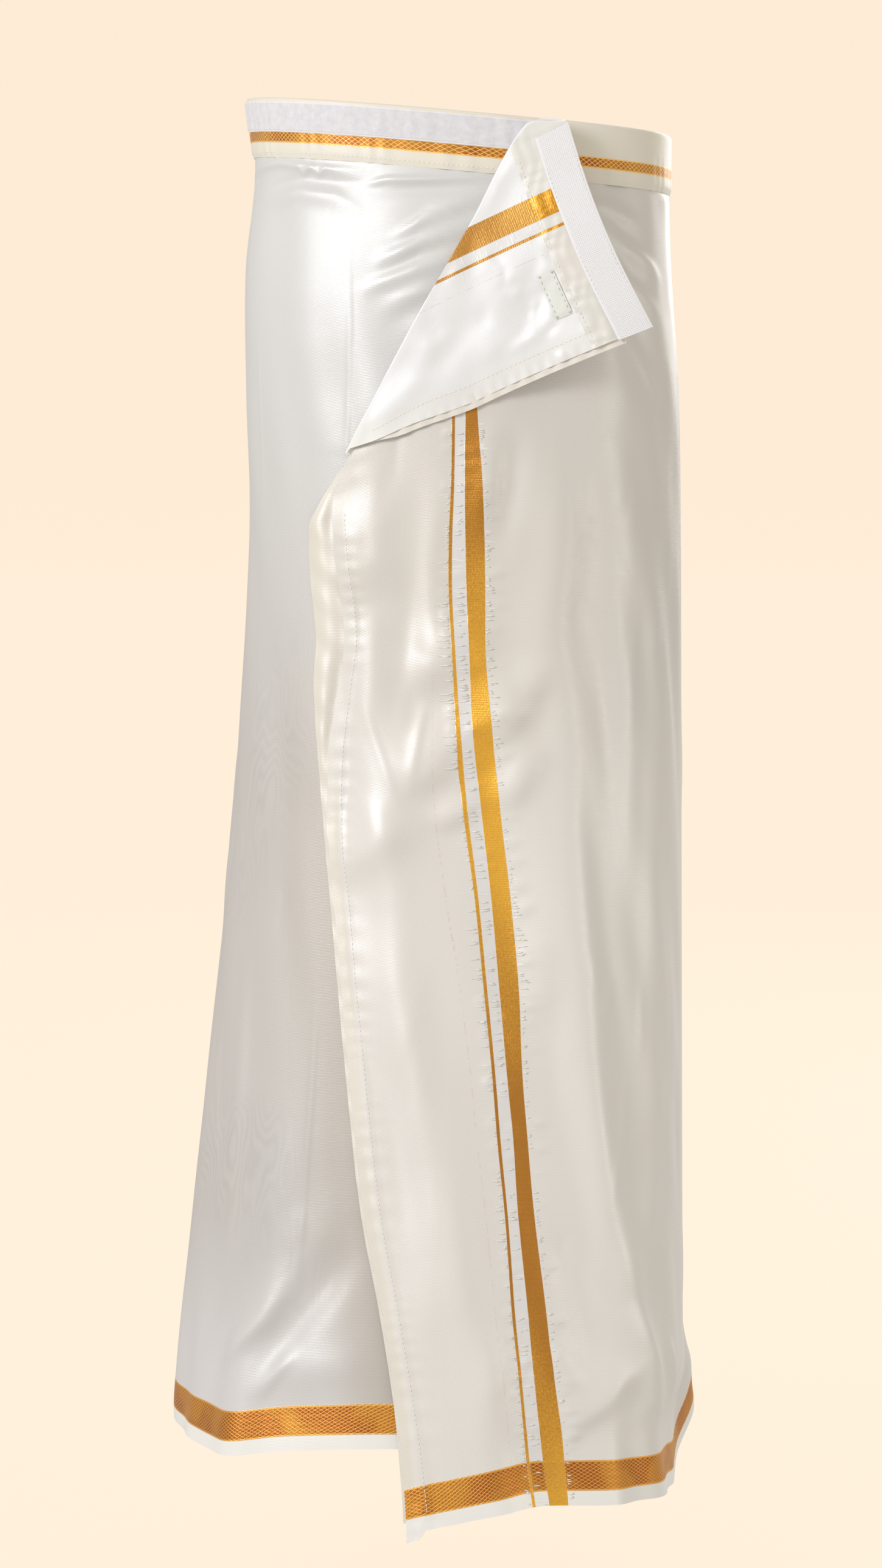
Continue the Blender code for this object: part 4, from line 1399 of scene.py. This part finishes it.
def silk(name, stripes=True, border=True, base=IVORY, wrong_side=False, moire=0.10, cream=CREAM,
         painted_light_top=None, painted_light_low=(0.72, 0.40, PAINTED_LIGHT_LOW_TINT)):
    """Satin; painted_light_low names two heights above the hem, and the tint of painted light that the cloth
    takes below them.
    """
    finish = Finish(name, roughness=0.42, sheen_weight=0.06, sheen_roughness=0.4, specular_ior_level=1.0,
                    ior=1.72)
    across, up, both = finish.cloth()
    where = finish.place()

    patches = finish.noise(where, 5.0, 3.0)
    streaks = finish.noise(finish.stretched(where, 1.0, 1.0, 0.12), 34.0, 3.0)
    shimmer = finish.noise(finish.stretched(where, 1.0, 1.0, 0.30), 11.0, 3.0, 0.55)
    grain = shimmer.wave(2 * math.pi / 230)
    where_grain = finish.noise(where, 7.0, 1.0).ramp(0.45, 0.70) * moire
    slubs = finish.fibres(both, 90.0, 900.0)

    colour = finish.mix(patches.ramp(0.35, 0.65), base, tinted(base, WARM_TINT))
    colour = finish.mix(streaks.ramp(0.45, 0.75) * 0.6, colour, tinted(base, COOL_TINT))
    colour = finish.mix(grain * where_grain, colour, tinted(base, SHADE_TINT))
    # Painted light: below the given heights the cloth is painted lighter, towards the hem
    light_from, light_to, light_tint = painted_light_low
    colour = finish.mix((1 - up.ramp(light_to, light_from)) * 0.9, colour, tinted(base, light_tint))
    # Painted light: the top of the under and back panels is painted lighter and cooler
    if painted_light_top:
        colour = finish.mix(up.ramp(0.45, 0.86), colour, painted_light_top)
    # Cream where plies lie on each other; on the under panel it is painted shade beside the over panel's free
    # edge
    colour = finish.mix(finish.cream_and_painted_shade_share(), colour, cream)
    relief = up.wave(WEFT) * 0.25 + slubs * 0.35 + streaks * 0.8
    rough = 0.35 + patches * 0.13 + grain * 0.03
    metal = 0.0

    if stripes:
        gold = gold_stripes(across)
        pebbles = finish.fibres(both, 700.0, 520.0)
        changes = finish.fibres(both, 12.0, 7.0)
        # Painted light and shade: the wide gold band is painted lighter and darker in a slow wave along its
        # length
        turns = ((up - PAINTED_LIGHT_TURN_AT) * (2 * math.pi / PAINTED_LIGHT_TURN_LENGTH) + math.pi / 2).sine()
        shine = pebbles * 0.6 + changes * 0.7 + turns * 0.30 - 0.18
        bright = tinted(BRIGHT_GOLD, WRONG_TINT) if wrong_side else BRIGHT_GOLD
        cool = strip(across, THIN_GOLD, WIDE_START) * 0.8
        beside = strip(across, THIN_GOLD - 0.007, THIN_GOLD, 0.003).most(
            strip(across, WIDE_END, WIDE_END + 0.006, 0.003))
        clusters = finish.fibres(both, 20.0, 42.0).ramp(0.42, 0.62)
        floats = finish.fibres(both, 90.0, 520.0, 1.0).ramp(0.58, 0.70) * beside.most(cool) * clusters
        pink = strip(across, PINK_LINE - 0.0004, PINK_LINE + 0.0004)
        pink = pink * finish.fibres(both, 10.0, 240.0).ramp(0.45, 0.55)
        colour = finish.mix(cool, colour, LILAC)
        colour = finish.mix(pink * 0.5, colour, THREAD_PINK)
        colour = finish.mix(floats * 0.6, colour, FLOAT_WHITE)
        colour = finish.mix(gold, colour, finish.mix(shine.ramp(0.20, 0.90), MUSTARD, bright))
        relief = relief + floats * 2.2 + gold * (pebbles * 2.0 + up.wave(GOLD_RIB) * 0.5)
        rough = rough + gold * 0.02
        metal = gold * (0.5 if wrong_side else 0.72)

    if border:
        net, border_colour = gold_net(finish, across, up, (SELVEDGE_TO, LATTICE_TO), HEM_DIAMOND, 0.0011,
                                      (30.0, 0.42, 0.30), NET_GOLD)
        lattice_strip = strip(up, SELVEDGE_TO, LATTICE_TO)
        white_edge = 1 - up.ramp(SELVEDGE_TO - 0.0003, SELVEDGE_TO + 0.0003)
        if stripes:
            lattice_strip = lattice_strip * (1 - gold * 0.85)
            white_edge = white_edge * (1 - gold)
        colour = finish.mix(white_edge, colour, SELVEDGE)
        colour = finish.mix(lattice_strip, colour, border_colour)
        relief = relief + lattice_strip * (net * 1.6 + up.wave(GOLD_THREAD) * 0.5)
        rough = rough + lattice_strip * 0.05
        metal = metal.most(lattice_strip * 0.8) if stripes else lattice_strip * 0.8

    return finish.made(base_color=colour, roughness=rough, metallic=metal,
                       normal=finish.bump(relief, 0.35, 0.0004))


silk_cloth = silk("ivory silk with gold")
silk_plain = silk("ivory silk second ply", stripes=False, border=False, base=tinted(IVORY, WARM_TINT),
                  moire=0.0)
OFF_FRONT = {"stripes": False, "base": IVORY_UNDER, "moire": 0.8, "painted_light_top": PAINTED_LIGHT_IVORY_TOP,
             "painted_light_low": (0.17, 0.05, PAINTED_LIGHT_HEM_TINT)}
silk_under = silk("ivory silk under panel", cream=SHADED_CREAM, **OFF_FRONT)
silk_back = silk("ivory silk back panel", cream=tinted(IVORY, (1.07, 1.07, 1.08)), **OFF_FRONT)
silk_wrong = silk("ivory silk wrong side", border=False, base=IVORY_WRONG, wrong_side=True, moire=0.0)

# %% Waistband: plain lip, gold lattice strip, plain strip


def waistband_silk():
    finish = Finish("waistband silk", sheen_weight=0.12)
    along, down, both = finish.cloth()
    patches = finish.noise(finish.place(), 12.0, 3.0)
    gold = strip(down, BAND_GOLD_FROM, BAND_GOLD_TO)
    net, gold_colour = gold_net(finish, along, down, (BAND_GOLD_FROM, BAND_GOLD_TO), WAIST_DIAMOND, 0.0008,
                                (26.0, 0.40, 0.25), WAIST_NET_GOLD)
    colour = finish.mix(patches.ramp(0.35, 0.65), CREAM_BAND, WHITER_BAND)
    relief = finish.fibres(both, 90.0, 900.0) * 0.6 + patches * 0.8 + gold * net * 1.6
    return finish.made(base_color=finish.mix(gold, colour, gold_colour), roughness=0.42 + patches * 0.12,
                       metallic=gold * 0.4, normal=finish.bump(relief, 0.35, 0.0004))


band_silk = waistband_silk()

# %% Facing: the gold stripes run on over the turned-in waistband


def facing_silk():
    finish = Finish("corner facing silk", sheen_weight=0.12)
    waist, free, both = finish.cloth()
    patches = finish.noise(finish.place(), 14.0, 3.0)
    crinkle = finish.fibres(both, 220.0, 70.0, 3.0)
    pebbles = finish.fibres(both, 500.0, 700.0)
    gold = gold_stripes(waist)
    shine = (pebbles * 0.8 + free.wave(GOLD_RIB) * 0.2).ramp(0.3, 0.8)
    colour = finish.mix(patches.ramp(0.35, 0.65), (0.79, 0.775, 0.735), (0.77, 0.725, 0.68))
    colour = finish.mix(gold, colour, finish.mix(shine, MUSTARD, BRIGHT_GOLD))
    return finish.made(base_color=colour, roughness=0.36 + patches * 0.14, metallic=gold * 0.4,
                       normal=finish.bump(crinkle * 2.0 + gold * pebbles, 0.4, 0.0004))


facing_cloth = facing_silk()

# %% [markdown]
# ## Closing tapes, label and thread
#
# Loop tape is a matt fuzz of tiny nylon loops, with a lavender cast. Hook tape is a fine grid of stiff
# hooks. Both have a smooth woven edge. The label is thin and blank.

# %% Tape finishes
HOOK_PITCH = 0.0014
WOVEN_EDGE = 0.0013


def loop_fuzz():
    finish = Finish("loop tape fuzz", sheen_weight=0.5, sheen_roughness=0.6)
    _, up, _ = finish.cloth()
    where = finish.place()
    fuzz = finish.noise(where, 2600.0, 3.0, 0.7)
    clumps = finish.noise(where, 240.0, 3.0)
    woven_edge = 1 - strip(up, WOVEN_EDGE, LOOP_TAPE_WIDTH - WOVEN_EDGE, 0.0003)
    colour = finish.mix((fuzz * 0.6 + clumps * 0.5).ramp(0.35, 0.75), (0.76, 0.735, 0.785), (0.90, 0.88, 0.92))
    return finish.made(
        base_color=finish.mix(woven_edge * 0.6, colour, (0.85, 0.83, 0.86)), roughness=0.95 - woven_edge * 0.3,
        normal=finish.bump((fuzz + clumps * 0.8) * (1 - woven_edge * 0.7), 0.7, 0.0006))


def hook_grid():
    finish = Finish("hook tape grid", sheen_weight=0.1)
    along, up, _ = finish.cloth()
    uneven = finish.noise(finish.place(), 700.0, 2.0)
    field = along.wave(HOOK_PITCH) * up.wave(HOOK_PITCH) * strip(up, 0.0016, HOOK_TAPE_WIDTH - 0.0006, 0.0003)
    colour = finish.mix((field * 0.8 + uneven * 0.4).ramp(0.2, 0.9), (0.86, 0.85, 0.88), (0.97, 0.965, 0.98))
    return finish.made(base_color=colour, roughness=0.80 - field * 0.25,
                       normal=finish.bump(field * 1.2 + uneven * 0.3, 0.6, 0.0006))


def blank_label():
    finish = Finish("blank label", roughness=0.6, sheen_weight=0.1)
    weave = finish.fibres(finish.cloth()[2], 1500.0, 1500.0, 1.0)
    return finish.made(base_color=finish.mix(weave, (0.755, 0.765, 0.725), (0.83, 0.835, 0.80)),
                       normal=finish.bump(weave, 0.3, 0.0003))


def thread_finish(name, low, high):
    finish = Finish(name, roughness=0.5, sheen_weight=0.2)
    twist = finish.noise(finish.place(), 1800.0, 1.0)
    return finish.made(base_color=finish.mix(twist, low, high), normal=finish.bump(twist, 0.3, 0.0002))


loop_finish, hook_finish, label_finish = loop_fuzz(), hook_grid(), blank_label()
thread = thread_finish("white sewing thread", (0.86, 0.845, 0.80), (0.95, 0.94, 0.92))
green_thread = thread_finish("grey green thread", (0.50, 0.54, 0.46), (0.62, 0.66, 0.58))

# %% [markdown]
# ## What each piece stands for
#
# Every piece rides on the imported body, hides the plain solid that it replaces, and takes its finish.

# %% Riding, replacing and finishing
DRESSING = [
    (under_panel, "under_panel", "silk_cloth", silk_under),
    (back_panel, "back_panel", "silk_cloth", silk_back),
    (over_panel, "over_panel", "silk_cloth", silk_cloth),
    (over_ply, "over_ply", "silk_cloth", silk_plain),
    (flap, "flap", "silk_wrong_side", silk_wrong),
    (flap_ply, "flap_ply", "silk_cloth", silk_plain),
    (facing, "flap_facing", "silk_wrong_side", facing_cloth),
    (band_under, "waistband_under", "waistband_cloth", band_silk),
    (band_back, "waistband_back", "waistband_cloth", band_silk),
    (band_over, "waistband_over", "waistband_cloth", band_silk),
    (loop_tape, "loop_tape", "loop_tape", loop_finish),
    (hook_tape, "hook_tape", "hook_tape", hook_finish),
    (label, "label_patch", "label_cloth", label_finish),
]
SEWING = [
    (band_stitches, None, "waistband_cloth", thread),
    (edge_stitches, None, "silk_cloth", thread),
    (weft_floats, None, "silk_cloth", thread),
    (flap_stitches, None, "silk_wrong_side", thread),
    (label_stitches, None, "label_cloth", green_thread),
]
for piece, node, slot, material in DRESSING + SEWING:
    piece.data.materials.append(material)
    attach(piece, "root")
    if node:
        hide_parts(node)

# %% [markdown]
# ## Floor and light
#
# A plain pale floor that curves up into a backdrop, a broad soft light from the left in front, a weak low one
# from the right, and one from behind, so that the back isn't flat.

# %% A round floor that curves up all round
FLOOR_HEIGHT = -1.075
FLAT_RADIUS, CURVE, WALL_RISE = 15.0, 3.0, 12.0
CURVE_STEPS, ROUND_STEPS = 8, 96

bowl = bmesh.new()
turns = [math.pi / 2 * step / CURVE_STEPS for step in range(CURVE_STEPS + 1)]
outline = [(0, 0)] + [(FLAT_RADIUS + CURVE * math.sin(turn), CURVE * (1 - math.cos(turn))) for turn in turns]
outline.append((FLAT_RADIUS + CURVE, CURVE + WALL_RISE))
profile = [bowl.verts.new((x, 0, FLOOR_HEIGHT + rise)) for x, rise in outline]
edges = [bowl.edges.new(pair) for pair in zip(profile, profile[1:])]
bmesh.ops.spin(bowl, geom=profile + edges, cent=(0, 0, 0), axis=(0, 0, 1), angle=2 * math.pi,
               steps=ROUND_STEPS, use_merge=True)
bmesh.ops.remove_doubles(bowl, verts=bowl.verts, dist=0.0001)
bmesh.ops.recalc_face_normals(bowl, faces=bowl.faces)
floor = put_in_scene("floor", as_mesh("floor", bowl))
floor.visible_diffuse = False
floor.visible_glossy = False
floor.data.materials.append(Finish(
    "pale peach floor", roughness=0.9, base_color=(0.02, 0.017, 0.013), emission_color=(1.0, 0.845, 0.680),
    emission_strength=0.965).material)

# %% Lights and colour management


def soft_light(name, place, target, size, power, colour):
    lamp = bpy.data.lights.new(name, "AREA")
    lamp.shape, lamp.size, lamp.energy, lamp.color = "SQUARE", size, power, colour
    thing = put_in_scene(name, lamp)
    thing.location = place
    thing.rotation_euler = (Vector(target) - Vector(place)).to_track_quat("-Z", "Y").to_euler()


soft_light("key", (-2.6, -2.75, 1.15), (0.0, 0.0, -0.40), 1.3, 88.0, (0.975, 0.987, 1.0))
soft_light("fill", (3.4, -1.9, -0.9), (0.0, 0.0, -0.9), 1.4, 23.0, (1.0, 0.960, 0.890))
soft_light("rear", (1.6, 3.2, 0.9), (0.0, 0.0, -0.5), 2.0, 60.0, (0.99, 0.99, 1.0))

world = bpy.data.worlds.new("studio")
world.use_nodes = True
sky = world.node_tree.nodes["Background"].inputs
sky["Color"].default_value = (1.0, 0.953, 0.868, 1.0)
sky["Strength"].default_value = 0.58
bpy.context.scene.world = world
bpy.context.scene.view_settings.view_transform = "Standard"
